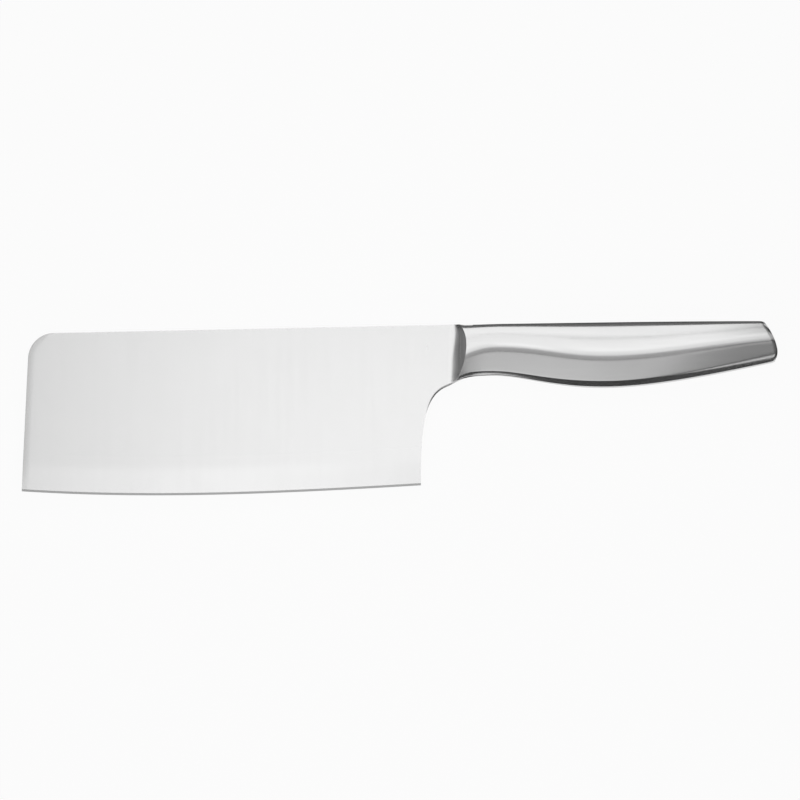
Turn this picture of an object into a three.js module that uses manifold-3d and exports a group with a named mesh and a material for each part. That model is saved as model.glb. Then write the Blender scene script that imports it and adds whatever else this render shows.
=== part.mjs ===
// All-steel kitchen cleaver with a forged blade and a welded hollow handle, in millimetres.
// It lies on its side: +X runs from toe to butt, +Y from edge to spine, +Z through the thickness.
// Left and right are as held with the edge down, so the left side faces up.
import * as THREE from "three";
import { mergeVertices } from "three/addons/utils/BufferGeometryUtils.js";
import initManifold from "manifold-3d";

// Blade outline, measured from the top of the bolster crest
const BLADE_REACH = 185; // toe corner to crest
const TOE_HEIGHT = 65.8; // edge to spine at the toe
const TOE_LEAN = 3.2; // how far the top of the toe is set back
const TOE_RADIUS = 11; // rounded corner between toe and spine
const SPINE_DROP = 3.8; // fall of the spine from crest to toe
const HEEL_SETBACK = 18.6; // heel corner to crest
const HEEL_DEPTH = 67.1; // crest top to heel corner
const TOE_BELLY = 4.4; // bulge of the edge curve on the toe side
const HEEL_BELLY = 2.5; // bulge of the edge curve on the heel side
const HEEL_LIFT = 23; // straight pull of the curve above the heel corner
const CHOIL_SETBACK = 8.4; // middle of the finger notch to crest
const CHOIL_DEPTH = 26.3;
const CHOIL_ANGLE = 24; // degrees, slope of the notch at its middle
const CHOIL_PULL = 10; // roundness of the notch towards the heel

// Blade thickness and grind
const BLADE_THICKNESS = 2.5;
const GRIND_KNEE = 11.5; // height above the edge where the flat side turns in
const GRIND_BLEND = 4.5; // reach of the soft turn to each side of the knee
const BEVEL_HEIGHT = 0.95;
const BEVEL_THICKNESS = 0.6; // blade behind the sharpened bevel
const EDGE_THICKNESS = 0.12;

// Bolster, spigot and tang forged in one with the blade
const SCOOP_RADIUS = 10; // hollow round from blade face to crest
const SEAM_SETBACK = 3; // crest to the welded seam behind it
const SPIGOT_LENGTH = 7; // register that enters the shells
const TANG_HEIGHT = 12;
const TANG_DEPTH = 9.5; // crest top to tang centre line

// Handle seen from the side
const HANDLE_LENGTH = 130.2; // crest to butt
const TOP_RISE = 0.0143; // slope of the top, as rise over run
const TOP_LEVEL = 60; // crest to where the top begins to level out
const TOP_DIP = 0.25; // fall of the top just behind the crest
const DIP_RUN = 7; // length of that fall
const NECK_DISTANCE = 11; // crest to the slimmest point
const NECK_DEPTH = 21.4;
const SWELL_DISTANCE = 57.5; // crest to the deepest point
const SWELL_DEPTH = 26.4;
const BUTT_DEPTH = 15.2; // crest top to the lower corner of the butt
const BUTT_RISE = 12; // degrees, slope of the underside at the butt
const BUTT_SLANT = 6.1; // set-back of the upper corner of the butt
const BUTT_CURVE = 2.2; // power of the curve from the lower to the upper corner
const BUTT_EDGE = 1.2; // rounding around the butt face

// Fullness of the side curves: how far each end of a curve keeps its direction
const NOTCH_PULL = 8;
const NECK_FRONT_PULL = 12;
const NECK_REAR_PULL = 14;
const SWELL_FRONT_PULL = 22;
const SWELL_REAR_PULL = 20;
const BUTT_PULL = 28;

// Handle seen from the end
const FRONT_HALF_WIDTH = 6.4;
const SWELL_HALF_WIDTH = 8.6;
const BUTT_HALF_WIDTH = 7.4;
const RIDGE_FRONT_DEPTH = 18.5; // crest top to the ridge line above the lower facet
const RIDGE_NECK_DEPTH = 9;
const RIDGE_SWELL_DEPTH = 12.7;
const RIDGE_BUTT_DEPTH = 5.6;
const RIDGE_NECK_DISTANCE = 13;
const RIDGE_FRONT_RISE = 50; // degrees, slope of the ridge where it leaves the scoop
const RIDGE_FRONT_PULL = 5;
const RIDGE_NECK_PULL = 10;
const RIDGE_BUTT_RISE = 4; // degrees, slope of the ridge at the butt
const RIDGE_REAR_PULL = 24;
const ROLL_REACH = 3; // half height of the rounded ridge
const SHOULDER_POWER = 3.5; // fullness of the upper side face
const TOP_OVERSHOOT = 1.06; // shoulder curve is cut off by the flat top
const KEEL_HALF_WIDTH = 3.8;
const KEEL_HEIGHT = 2.7;
const KEEL_CHAMFER = 1.9; // height of the narrow facet above the rounded nose
const KEEL_ANGLE = 37; // degrees

// Shells, cap and inner pieces
const SHELL_WALL = 1.2;
const FIT = 0.3; // clearance of the inner pieces to the shells
const POLISH_STEP = 0.05; // bolster stands this far inside the ground blade faces
const CAP_LENGTH = 11; // seam to the end of the butt
const CAP_SPIGOT = 5;
const WEIGHT_LENGTH = 16;
const TANG_COVER = 6; // core behind the end of the tang
const RIVET_RADIUS = 2;
const RIVET_HEAD_RADIUS = 3.2;
const RIVET_HEAD_HEIGHT = 1;
const RIVET_RECESS = 0.3; // rivet heads lie this far inside the core
const RIVET_INSET = 14; // each rivet to its end of the core slot

// Fineness of the curves
const SHELL_STATIONS = 22;
const CORE_STATIONS = 12;
const BLADE_STATIONS = 16;
const BOLSTER_STATIONS = 9;
const SHORT_STATIONS = 3;
const OUTLINE_STEPS = 18;
const SHOULDER_STEPS = 7;
const ROLL_STEPS = 4;
const NOSE_STEPS = 3;
const GRIND_STEPS = 4;
const CORNER_STEPS = 12;
const SCOOP_SIDES = 96;
const RIVET_SIDES = 32;
const LEVEL_SHARE = 0.4; // share of a run over which its ends stay level
const OVERLAP = 1; // depth to which solids that become one forging run into each other
const SPARE = 10; // steel and cutters reach this far past the finished outline

// Positions that follow from the sizes
const CREST = 0;
const SEAM = CREST + SEAM_SETBACK;
const CORE_FRONT = SEAM + SPIGOT_LENGTH;
const CAP_SEAM = CREST + HANDLE_LENGTH - CAP_LENGTH;
const CORE_END = CAP_SEAM - CAP_SPIGOT - WEIGHT_LENGTH;
const TANG_END = CORE_END - TANG_COVER;
const SPINE_SLOPE = SPINE_DROP / (BLADE_REACH - TOE_LEAN);
const BLADE_HALF = BLADE_THICKNESS / 2;
const SCOOP_LIFT = FRONT_HALF_WIDTH - BLADE_HALF;
const SCOOP_FOOT = CREST - Math.sqrt(SCOOP_RADIUS ** 2 - (SCOOP_RADIUS - SCOOP_LIFT) ** 2);
const RIVETS = [CORE_FRONT + RIVET_INSET, TANG_END - RIVET_INSET];

const wasm = await initManifold();
wasm.setup();

const point = (x, y) => new THREE.Vector2(x, y);
const radians = THREE.MathUtils.degToRad;
const ray = (degrees, length) => point(length, 0).rotateAround(point(0, 0), radians(degrees));

// Curve between two points that leaves and arrives along the given pulls
function bend(start, startPull, end, endPull) {
  return new THREE.CubicBezierCurve(start, start.clone().add(startPull), end.clone().sub(endPull), end);
}

// Smooth run through points where it is level
function levelRun(points) {
  const curves = [];
  for (let i = 1; i < points.length; i += 1) {
    const pull = point((points[i].x - points[i - 1].x) * LEVEL_SHARE, 0);
    curves.push(bend(points[i - 1], pull, points[i], pull));
  }
  return curves;
}

// Height of a run of curves at a given x, found by halving
function heightAt(curves, x) {
  const curve = curves.find((c) => x <= c.v3.x) ?? curves[curves.length - 1];
  let low = 0;
  let high = 1;
  for (let i = 0; i < 40; i += 1) {
    const middle = (low + high) / 2;
    if (curve.getPoint(middle).x < x) low = middle;
    else high = middle;
  }
  return curve.getPoint((low + high) / 2).y;
}

// Key points and lines of the outline
const toeTop = point(CREST - BLADE_REACH + TOE_LEAN, -SPINE_DROP);
const toeCorner = point(CREST - BLADE_REACH, -SPINE_DROP - TOE_HEIGHT);
const heelCorner = point(CREST - HEEL_SETBACK, -HEEL_DEPTH);
const choil = point(CREST - CHOIL_SETBACK, -CHOIL_DEPTH);
const neck = point(CREST + NECK_DISTANCE, -NECK_DEPTH);
const swell = point(CREST + SWELL_DISTANCE, -SWELL_DEPTH);
const buttLow = point(CREST + HANDLE_LENGTH, -BUTT_DEPTH);

const heelCurve = bend(heelCorner, point(0, HEEL_LIFT), choil, ray(CHOIL_ANGLE, CHOIL_PULL));
const notchCurve = bend(choil, ray(CHOIL_ANGLE, NOTCH_PULL), neck, point(NECK_FRONT_PULL, 0));
const underside = [
  heelCurve,
  notchCurve,
  bend(neck, point(NECK_REAR_PULL, 0), swell, point(SWELL_FRONT_PULL, 0)),
  bend(swell, point(SWELL_REAR_PULL, 0), buttLow, ray(BUTT_RISE, BUTT_PULL)),
];
const ridgeFront = point(SCOOP_FOOT, -RIDGE_FRONT_DEPTH);
const ridgeNeck = point(CREST + RIDGE_NECK_DISTANCE, -RIDGE_NECK_DEPTH);
const ridgeSwell = point(swell.x, -RIDGE_SWELL_DEPTH);
const ridgeButt = point(buttLow.x, -RIDGE_BUTT_DEPTH);
const ridgeLine = [
  bend(ridgeFront, ray(RIDGE_FRONT_RISE, RIDGE_FRONT_PULL), ridgeNeck, point(RIDGE_NECK_PULL, 0)),
  ...levelRun([ridgeNeck, ridgeSwell]),
  bend(ridgeSwell, point(RIDGE_REAR_PULL, 0), ridgeButt, ray(RIDGE_BUTT_RISE, RIDGE_REAR_PULL)),
];
const halfWidth = levelRun([
  point(SCOOP_FOOT, FRONT_HALF_WIDTH),
  point(swell.x, SWELL_HALF_WIDTH),
  point(buttLow.x, BUTT_HALF_WIDTH),
]);

// Spine of the blade, then the top of the handle: a small dip, a straight rise, level at the butt
function topAt(x) {
  const along = x - CREST;
  if (along < 0) return SPINE_SLOPE * along;
  const levelled = Math.max(along - TOP_LEVEL, 0) ** 2 / (2 * (HANDLE_LENGTH - TOP_LEVEL));
  return TOP_RISE * (along - levelled) - TOP_DIP * THREE.MathUtils.smoothstep(along, 0, DIP_RUN);
}

// Cutting edge: a shallow curve with more belly towards the toe
function edgeAt(x) {
  const t = (x - toeCorner.x) / (heelCorner.x - toeCorner.x);
  const chord = toeCorner.y + (heelCorner.y - toeCorner.y) * t;
  return chord - 3 * t * (1 - t) ** 2 * TOE_BELLY - 3 * t ** 2 * (1 - t) * HEEL_BELLY;
}

// End of the butt at a given height: farthest out at the bottom, curving back to the top
function buttAt(y) {
  const top = topAt(buttLow.x);
  const share = THREE.MathUtils.clamp((y - buttLow.y) / (top - buttLow.y), 0, 1);
  return buttLow.x - BUTT_SLANT * share ** BUTT_CURVE;
}

// Left half of the handle section as (z, y), from the middle of the top to the middle of the keel
function halfSection(x) {
  const top = topAt(x);
  const low = heightAt(underside, x);
  const ridge = heightAt(ridgeLine, x);
  const half = heightAt(halfWidth, x);
  const waist = ridge + ROLL_REACH;
  const rise = (top - waist) * TOP_OVERSHOOT;
  const power = 2 / SHOULDER_POWER;
  const points = [point(0, top)];
  const start = Math.asin(TOP_OVERSHOOT ** (-1 / power));
  for (let i = 0; i <= SHOULDER_STEPS; i += 1) {
    const angle = start * (1 - i / SHOULDER_STEPS);
    points.push(point(half * Math.cos(angle) ** power, waist + rise * Math.sin(angle) ** power));
  }
  const corner = point(half, ridge);
  const keel = point(KEEL_HALF_WIDTH, low + KEEL_HEIGHT);
  const facet = keel.clone().sub(corner).setLength(ROLL_REACH).add(corner);
  const roll = new THREE.QuadraticBezierCurve(point(half, waist), corner, facet);
  points.push(...roll.getPoints(ROLL_STEPS).slice(1), keel);
  const inward = Math.tan(radians(KEEL_ANGLE));
  const nose = point(keel.x - KEEL_CHAMFER * inward, keel.y - KEEL_CHAMFER);
  const turn = point(nose.x - (nose.y - low) * inward, low);
  points.push(...new THREE.QuadraticBezierCurve(nose, turn, point(0, low)).getPoints(NOSE_STEPS));
  return points;
}

// Half section moved inwards by a wall, corners mitred
function insetHalf(points, wall) {
  if (wall === 0) return points;
  const mirrored = (p) => point(-p.x, p.y);
  const last = points.length - 1;
  return points.map((p, i) => {
    const before = i === 0 ? mirrored(points[1]) : points[i - 1];
    const after = i === last ? mirrored(points[last - 1]) : points[i + 1];
    const a = p.clone().sub(before).normalize();
    const b = after.clone().sub(p).normalize();
    const sum = point(a.y + b.y, -a.x - b.x);
    return p.clone().add(sum.multiplyScalar(wall / (1 + a.dot(b))));
  });
}

const halfAt = (x, wall) => insetHalf(halfSection(x), wall);
const bothSides = (half) => [...half, ...half.slice(1, -1).reverse().map((p) => point(-p.x, p.y))];

// Evenly spaced values from one end to the other
function spaced(from, to, steps) {
  return Array.from({ length: steps + 1 }, (_, i) => from + ((to - from) * i) / steps);
}

// Solid through closed loops of (x, y, z) points, closed flat at both ends
function loft(loops) {
  const count = loops[0].length;
  const positions = loops.flat().flatMap((p) => [p.x, p.y, p.z]);
  const faces = [];
  for (let s = 0; s + 1 < loops.length; s += 1) {
    for (let i = 0; i < count; i += 1) {
      const j = (i + 1) % count;
      const a = s * count + i;
      const b = s * count + j;
      faces.push(a, b, a + count, b, b + count, a + count);
    }
  }
  const lastLoop = (loops.length - 1) * count;
  const capOf = (loop) => THREE.ShapeUtils.triangulateShape(loop.map((p) => point(p.z, p.y)), []);
  for (const [a, b, c] of capOf(loops[0])) faces.push(a, b, c);
  for (const [a, b, c] of capOf(loops.at(-1))) faces.push(lastLoop + a, lastLoop + c, lastLoop + b);
  const geometry = new THREE.BufferGeometry();
  geometry.setAttribute("position", new THREE.Float32BufferAttribute(positions, 3));
  geometry.setIndex(faces);
  return geometry;
}

const ringAt = (x, section) => section.map((p) => new THREE.Vector3(x, p.y, p.x));

// Solid with the full handle section, set in by a wall, along a stretch of x
function handleSolid(from, to, steps, wall) {
  return loft(spaced(from, to, steps).map((x) => ringAt(x, bothSides(halfAt(x, wall)))));
}

// Joining and cutting
function solid(geometry) {
  const bare = geometry.clone();
  for (const name of Object.keys(bare.attributes)) if (name !== "position") bare.deleteAttribute(name);
  const merged = mergeVertices(bare, 1e-4);
  return new wasm.Manifold(
    new wasm.Mesh({
      numProp: 3,
      vertProperties: Float32Array.from(merged.attributes.position.array),
      triVerts: Uint32Array.from(merged.index.array),
    }),
  );
}

function geometryOf(body) {
  const mesh = body.getMesh();
  const geometry = new THREE.BufferGeometry();
  geometry.setAttribute("position", new THREE.Float32BufferAttribute(mesh.vertProperties, 3));
  geometry.setIndex(Array.from(mesh.triVerts));
  return geometry;
}

function plate(shape, bottom, thickness) {
  const geometry = new THREE.ExtrudeGeometry(shape, {
    depth: thickness,
    bevelEnabled: false,
    curveSegments: CORNER_STEPS,
  });
  return geometry.translate(0, 0, bottom);
}

// Upright round bar standing across the thickness
function crossBar(x, y, radius, bottom, top) {
  const bar = new THREE.CylinderGeometry(radius, radius, top - bottom, RIVET_SIDES).rotateX(Math.PI / 2);
  return bar.translate(x, y, (bottom + top) / 2);
}

// Rounded corner in an outline that runs counter-clockwise
function roundCorner(shape, before, corner, after, radius) {
  const u = before.clone().sub(corner).normalize();
  const v = after.clone().sub(corner).normalize();
  const opening = Math.acos(u.dot(v)) / 2;
  const centre = u.clone().add(v).setLength(radius / Math.sin(opening)).add(corner);
  const start = u.setLength(radius / Math.tan(opening)).add(corner);
  const end = v.setLength(radius / Math.tan(opening)).add(corner);
  shape.lineTo(start.x, start.y);
  shape.absarc(centre.x, centre.y, radius, start.sub(centre).angle(), end.sub(centre).angle(), false);
}

// Blade, bolster and tang in one forging
function makeBlade() {
  const plateEnd = CREST - OVERLAP;
  const below = toeCorner.y - SPARE;
  const toeLow = toeCorner.clone().sub(toeTop).setLength(SPARE).add(toeCorner);
  const outline = new THREE.Shape();
  outline.moveTo(plateEnd, topAt(plateEnd));
  roundCorner(outline, point(plateEnd, topAt(plateEnd)), toeTop, toeCorner, TOE_RADIUS);
  outline.lineTo(toeLow.x, toeLow.y);
  outline.lineTo(heelCorner.x, below);
  outline.lineTo(heelCorner.x, heelCorner.y);
  for (const p of heelCurve.getPoints(OUTLINE_STEPS).slice(1)) outline.lineTo(p.x, p.y);
  for (const x of spaced(choil.x, plateEnd, OUTLINE_STEPS).slice(1)) {
    outline.lineTo(x, heightAt(underside, x));
  }

  const shoulder = point(BEVEL_HEIGHT, BEVEL_THICKNESS / 2);
  const knee = point(GRIND_KNEE, BLADE_HALF);
  const turned = shoulder.clone().sub(knee).setLength(GRIND_BLEND).add(knee);
  const blend = new THREE.QuadraticBezierCurve(point(GRIND_KNEE + GRIND_BLEND, BLADE_HALF), knee, turned);
  const flank = [...blend.getPoints(GRIND_STEPS), shoulder, point(0, EDGE_THICKNESS / 2)];
  const loops = spaced(toeLow.x - OVERLAP, plateEnd, BLADE_STATIONS).map((x) => {
    const edge = edgeAt(x);
    const half = [point(BLADE_HALF, SPARE), ...flank.map((p) => point(p.y, edge + p.x))];
    const loop = [...half, ...half.map((p) => point(-p.x, p.y)).reverse()];
    return ringAt(x, loop);
  });
  const ground = solid(plate(outline, -BLADE_THICKNESS, 2 * BLADE_THICKNESS)).intersect(solid(loft(loops)));

  const bolsterLoops = spaced(SCOOP_FOOT, SEAM, BOLSTER_STATIONS).map((x) => {
    const wall = x < CREST ? POLISH_STEP : 0;
    return ringAt(x, bothSides(halfAt(x, wall)));
  });
  let bolster = solid(loft(bolsterLoops));
  for (const side of [-1, 1]) {
    const length = 2 * (SWELL_DEPTH + SPARE);
    const scoop = new THREE.CylinderGeometry(SCOOP_RADIUS, SCOOP_RADIUS, length, SCOOP_SIDES);
    const height = BLADE_HALF + SCOOP_RADIUS - POLISH_STEP;
    bolster = bolster.subtract(solid(scoop.translate(SCOOP_FOOT, -NECK_DEPTH / 2, side * height)));
  }

  const spigot = solid(handleSolid(SEAM - OVERLAP, CORE_FRONT, SHORT_STATIONS, SHELL_WALL + FIT));
  let tang = solid(plate(tangShape(SEAM - OVERLAP, 0), -BLADE_HALF, BLADE_THICKNESS));
  for (const x of RIVETS) {
    const hole = crossBar(x, -TANG_DEPTH, RIVET_RADIUS + FIT, -BLADE_THICKNESS, BLADE_THICKNESS);
    tang = tang.subtract(solid(hole));
  }
  return geometryOf(ground.add(bolster).add(spigot).add(tang));
}

// Side outline of the tang with a rounded end, grown by a gap
function tangShape(from, gap) {
  const half = TANG_HEIGHT / 2 + gap;
  const round = TANG_HEIGHT / 2;
  const shape = new THREE.Shape();
  shape.moveTo(from, -TANG_DEPTH - half);
  shape.lineTo(TANG_END - round, -TANG_DEPTH - half);
  shape.absarc(TANG_END - round, -TANG_DEPTH, half, -Math.PI / 2, Math.PI / 2, false);
  shape.lineTo(from, -TANG_DEPTH + half);
  return shape;
}

// Pressed half shell: side +1 is the left one that faces up
function makeShell(side) {
  const loops = spaced(SEAM, CAP_SEAM, SHELL_STATIONS).map((x) => {
    const outer = halfAt(x, 0);
    const inner = halfAt(x, SHELL_WALL).reverse();
    const loop = [...outer, ...inner].map((p) => point(side * p.x, p.y));
    return ringAt(x, side > 0 ? loop : loop.reverse());
  });
  return loft(loops);
}

// Solid end of the handle with a spigot that enters both shells
function makeCap() {
  const loops = [];
  for (const share of [0, 0.5]) {
    const x = CAP_SEAM + share * (CAP_LENGTH - BUTT_EDGE);
    loops.push(capLoop(x, 0, (y) => CAP_SEAM + share * (buttAt(y) - BUTT_EDGE - CAP_SEAM)));
  }
  for (const degrees of [0, 30, 60, 90]) {
    const turn = radians(degrees);
    const wall = BUTT_EDGE * (1 - Math.cos(turn));
    loops.push(capLoop(buttLow.x, wall, (y) => buttAt(y) - BUTT_EDGE * (1 - Math.sin(turn))));
  }
  const spigot = handleSolid(CAP_SEAM - CAP_SPIGOT, CAP_SEAM + OVERLAP, SHORT_STATIONS, SHELL_WALL + FIT);
  return geometryOf(solid(loft(loops)).add(solid(spigot)));
}

function capLoop(sectionX, wall, placeX) {
  const section = bothSides(halfAt(sectionX, wall));
  return section.map((p) => new THREE.Vector3(placeX(p.y), p.y, p.x));
}

// Half width of a half section at a given height
function widthAt(section, y) {
  const i = section.findIndex((p, k) => k > 0 && p.y <= y);
  const upper = section[i - 1];
  const lower = section[i];
  return THREE.MathUtils.mapLinear(y, upper.y, lower.y, upper.x, lower.x);
}

// Height of the rivet seat above the middle plane, under the lowest point of the head's rim
function rivetSeat(x) {
  const reach = RIVET_HEAD_RADIUS + FIT;
  const rim = [];
  for (const along of [-reach, 0, reach]) {
    const section = halfAt(x + along, SHELL_WALL + FIT);
    for (const across of [-reach, reach]) rim.push(widthAt(section, across - TANG_DEPTH));
  }
  return Math.min(...rim) - RIVET_HEAD_HEIGHT - RIVET_RECESS;
}

// Moulded filler around one side of the tang
function makeCore(side) {
  const loops = spaced(CORE_FRONT, CORE_END, CORE_STATIONS).map((x) => {
    const loop = halfAt(x, SHELL_WALL + FIT).map((p) => point(side * p.x, p.y));
    return ringAt(x, side > 0 ? loop : loop.reverse());
  });
  const slot = plate(tangShape(CORE_FRONT - OVERLAP, FIT), -BLADE_HALF, BLADE_THICKNESS);
  let core = solid(loft(loops)).subtract(solid(slot));
  for (const x of RIVETS) {
    const seat = side * rivetSeat(x);
    const far = side * SWELL_HALF_WIDTH * 2;
    const ends = (a, b) => [Math.min(a, b), Math.max(a, b)];
    core = core.subtract(solid(crossBar(x, -TANG_DEPTH, RIVET_RADIUS + FIT, ...ends(-side, far))));
    core = core.subtract(solid(crossBar(x, -TANG_DEPTH, RIVET_HEAD_RADIUS + FIT, ...ends(seat, far))));
  }
  return geometryOf(core);
}

// Rivet through core and tang, turned about its own axis
function makeRivet(x) {
  const seat = rivetSeat(x);
  const end = seat + RIVET_HEAD_HEIGHT;
  const profile = [
    point(0, -end),
    point(RIVET_HEAD_RADIUS, -end),
    point(RIVET_HEAD_RADIUS, -seat),
    point(RIVET_RADIUS, -seat),
    point(RIVET_RADIUS, seat),
    point(RIVET_HEAD_RADIUS, seat),
    point(RIVET_HEAD_RADIUS, end),
    point(0, end),
  ];
  return new THREE.LatheGeometry(profile, RIVET_SIDES).rotateX(Math.PI / 2).translate(x, -TANG_DEPTH, 0);
}

// Cast slug between core and cap that brings the balance back towards the hand
function makeWeight() {
  return handleSolid(CORE_END, CAP_SEAM - CAP_SPIGOT, SHORT_STATIONS, SHELL_WALL + FIT);
}

// Surface finishes
function finish(color, roughness, metalness) {
  return new THREE.MeshStandardMaterial({ color, roughness, metalness });
}

const pieces = {
  blade: [makeBlade(), finish(0xdfe0e1, 0.28, 1)],
  handle_shell_left: [makeShell(1), finish(0xdadbdc, 0.3, 1)],
  handle_shell_right: [makeShell(-1), finish(0xdadbdc, 0.3, 1)],
  butt_cap: [makeCap(), finish(0xd6d7d8, 0.3, 1)],
  handle_core_left: [makeCore(1), finish(0x3a3b3d, 0.7, 0)],
  handle_core_right: [makeCore(-1), finish(0x3a3b3d, 0.7, 0)],
  tang_rivet_front: [makeRivet(RIVETS[0]), finish(0xb9babb, 0.4, 1)],
  tang_rivet_rear: [makeRivet(RIVETS[1]), finish(0xb9babb, 0.4, 1)],
  balance_weight: [makeWeight(), finish(0x6d6e70, 0.6, 1)],
};

// Set the knife down with the middle of its footprint at the origin
const cleaver = new THREE.Group();
cleaver.name = "cleaver";
const room = new THREE.Box3();
for (const [geometry] of Object.values(pieces)) {
  geometry.computeBoundingBox();
  room.union(geometry.boundingBox);
}
const middle = room.getCenter(new THREE.Vector3());
for (const [name, [geometry, material]] of Object.entries(pieces)) {
  const mesh = new THREE.Mesh(geometry.translate(-middle.x, -middle.y, -room.min.z), material);
  mesh.name = name;
  cleaver.add(mesh);
}

export default cleaver;
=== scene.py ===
"""Finishes the packed cleaver: its ground blade, its hollow steel handle and its studio."""

import math

import bmesh
import bpy
import numpy as np
from bpy.props import FloatProperty, FloatVectorProperty, PointerProperty
from bpy.types import Operator, Panel, PropertyGroup
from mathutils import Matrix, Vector
from mathutils.geometry import delaunay_2d_cdt


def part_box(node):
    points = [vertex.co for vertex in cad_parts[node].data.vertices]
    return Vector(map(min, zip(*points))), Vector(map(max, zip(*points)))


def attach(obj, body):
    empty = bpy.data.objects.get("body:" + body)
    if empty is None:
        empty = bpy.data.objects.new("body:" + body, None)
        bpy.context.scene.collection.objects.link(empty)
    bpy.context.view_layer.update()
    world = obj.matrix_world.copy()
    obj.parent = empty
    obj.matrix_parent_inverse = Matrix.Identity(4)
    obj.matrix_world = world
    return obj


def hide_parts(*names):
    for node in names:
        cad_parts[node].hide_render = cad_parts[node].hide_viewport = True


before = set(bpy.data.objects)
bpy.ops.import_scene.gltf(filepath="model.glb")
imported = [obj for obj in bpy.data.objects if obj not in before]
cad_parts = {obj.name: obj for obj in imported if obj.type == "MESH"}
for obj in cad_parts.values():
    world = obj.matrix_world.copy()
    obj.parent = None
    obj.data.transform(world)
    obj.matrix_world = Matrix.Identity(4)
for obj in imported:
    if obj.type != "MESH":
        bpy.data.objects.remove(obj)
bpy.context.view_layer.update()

bl_info = {
    "name": "Cleaver Finish",
    "version": (1, 0, 0),
    "blender": (4, 5, 0),
    "location": "View3D > Sidebar > Cleaver",
    "description": "Forges, grinds and polishes an all-steel kitchen cleaver around its packed frame",
    "category": "Object",
}

MM = 0.001

# Fineness of the handle's curves and sections
CURVE_STEPS = 160
TOP_STEPS = 4
SHOULDER_STEPS = 30
ROLL_STEPS = 16
FACET_STEPS = 10
FILLET_STEPS = 4
NOSE_STEPS = 8
SHELL_STATIONS = 150
CAP_STATIONS = 28
BUTT_EDGE_STEPS = 12
SETTLE_ROUNDS = 6
SHARP_ANGLE = math.radians(32)

# Fineness of the blade's flat blank
COLLAR_POINTS = 24
SPINE_POINTS = 110
TOE_ARC_POINTS = 29
TOE_POINTS = 40
EDGE_STEPS = 120
NOTCH_STRIDE = 3
BOLSTER_STATIONS = 120
SIDE_COLUMNS = 4
SCOOP_COLUMNS = 24
COLLAR_COLUMNS = 8
CREST_ROUNDS = 4
GUARD_POINTS = 30

# Lines of the blank: along the rim as shares of its reach, about the knee and the crest in millimetres
RIM_RINGS = (0.05, 0.15, 0.3, 0.5, 0.75, 1.0, 1.25)
KNEE_SPREAD = 5
KNEE_LINES = 11
CREST_LINES = (-0.5, -0.25, -0.12, -0.05, 0, 0.05, 0.12, 0.25, 0.5)

# Distances that keep the blank's lines and points apart
ABOVE_BEVEL = 0.4 * MM
PAST_TOE = 1 * MM
PAST_HEEL = 4 * MM
BEFORE_FOOT = 0.3 * MM
BESIDE_CREST = 0.6 * MM
LEAST_SCOOP_LINES = 1.2 * MM
LEAST_SCOOP = 0.5 * MM
GUARD_GAP = 0.5 * MM
GUARD_TOP = 0.3 * MM
GUARD_LOW = 0.8 * MM
GRID_SPACING = 7 * MM
GRID_FROM_TOE = 6 * MM
GRID_FROM_FOOT = 3 * MM
GRID_FROM_HEEL = 20 * MM
GRID_FROM_SPINE = 6 * MM
TANG_GAP = 0.02 * MM
TANG_LAP = 0.5 * MM

# Gaps in metres below which points are one point or lie on one line
JOIN_GAP = 1e-7
WELD_GAP = 1e-6
LINE_GAP = 2e-6
TINY_AREA = 1e-18

# Half width that never limits the blade, in metres
NO_LIMIT = 1.0

# Fullness of the crest's curve, as shares of its set-backs and depths
CREST_TOP_PULL = (0.6, -0.6)
CREST_LOW_PULL = (-0.6, -0.4)
CREST_BOW_PULL = 0.47
CREST_FALL_PULL = 0.37

# Power by which the scoop's curve changes with depth
SCOOP_FADE_POWER = 3


# Settings


def length(label, millimetres, words):
    """Length setting, written in millimetres and kept in metres."""
    return FloatProperty(
        name=label, description=words, default=millimetres * MM, unit="LENGTH", precision=5
    )


def angle(label, degrees, words):
    """Angle setting, written in degrees."""
    return FloatProperty(name=label, description=words, default=math.radians(degrees), subtype="ANGLE")


def share(label, value, words):
    """Plain number that isn't a length."""
    return FloatProperty(name=label, description=words, default=value, precision=3)


def colour(label, values, words):
    """Colour setting."""
    return FloatVectorProperty(
        name=label, description=words, default=values, subtype="COLOR", size=3, min=0, max=1
    )


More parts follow.
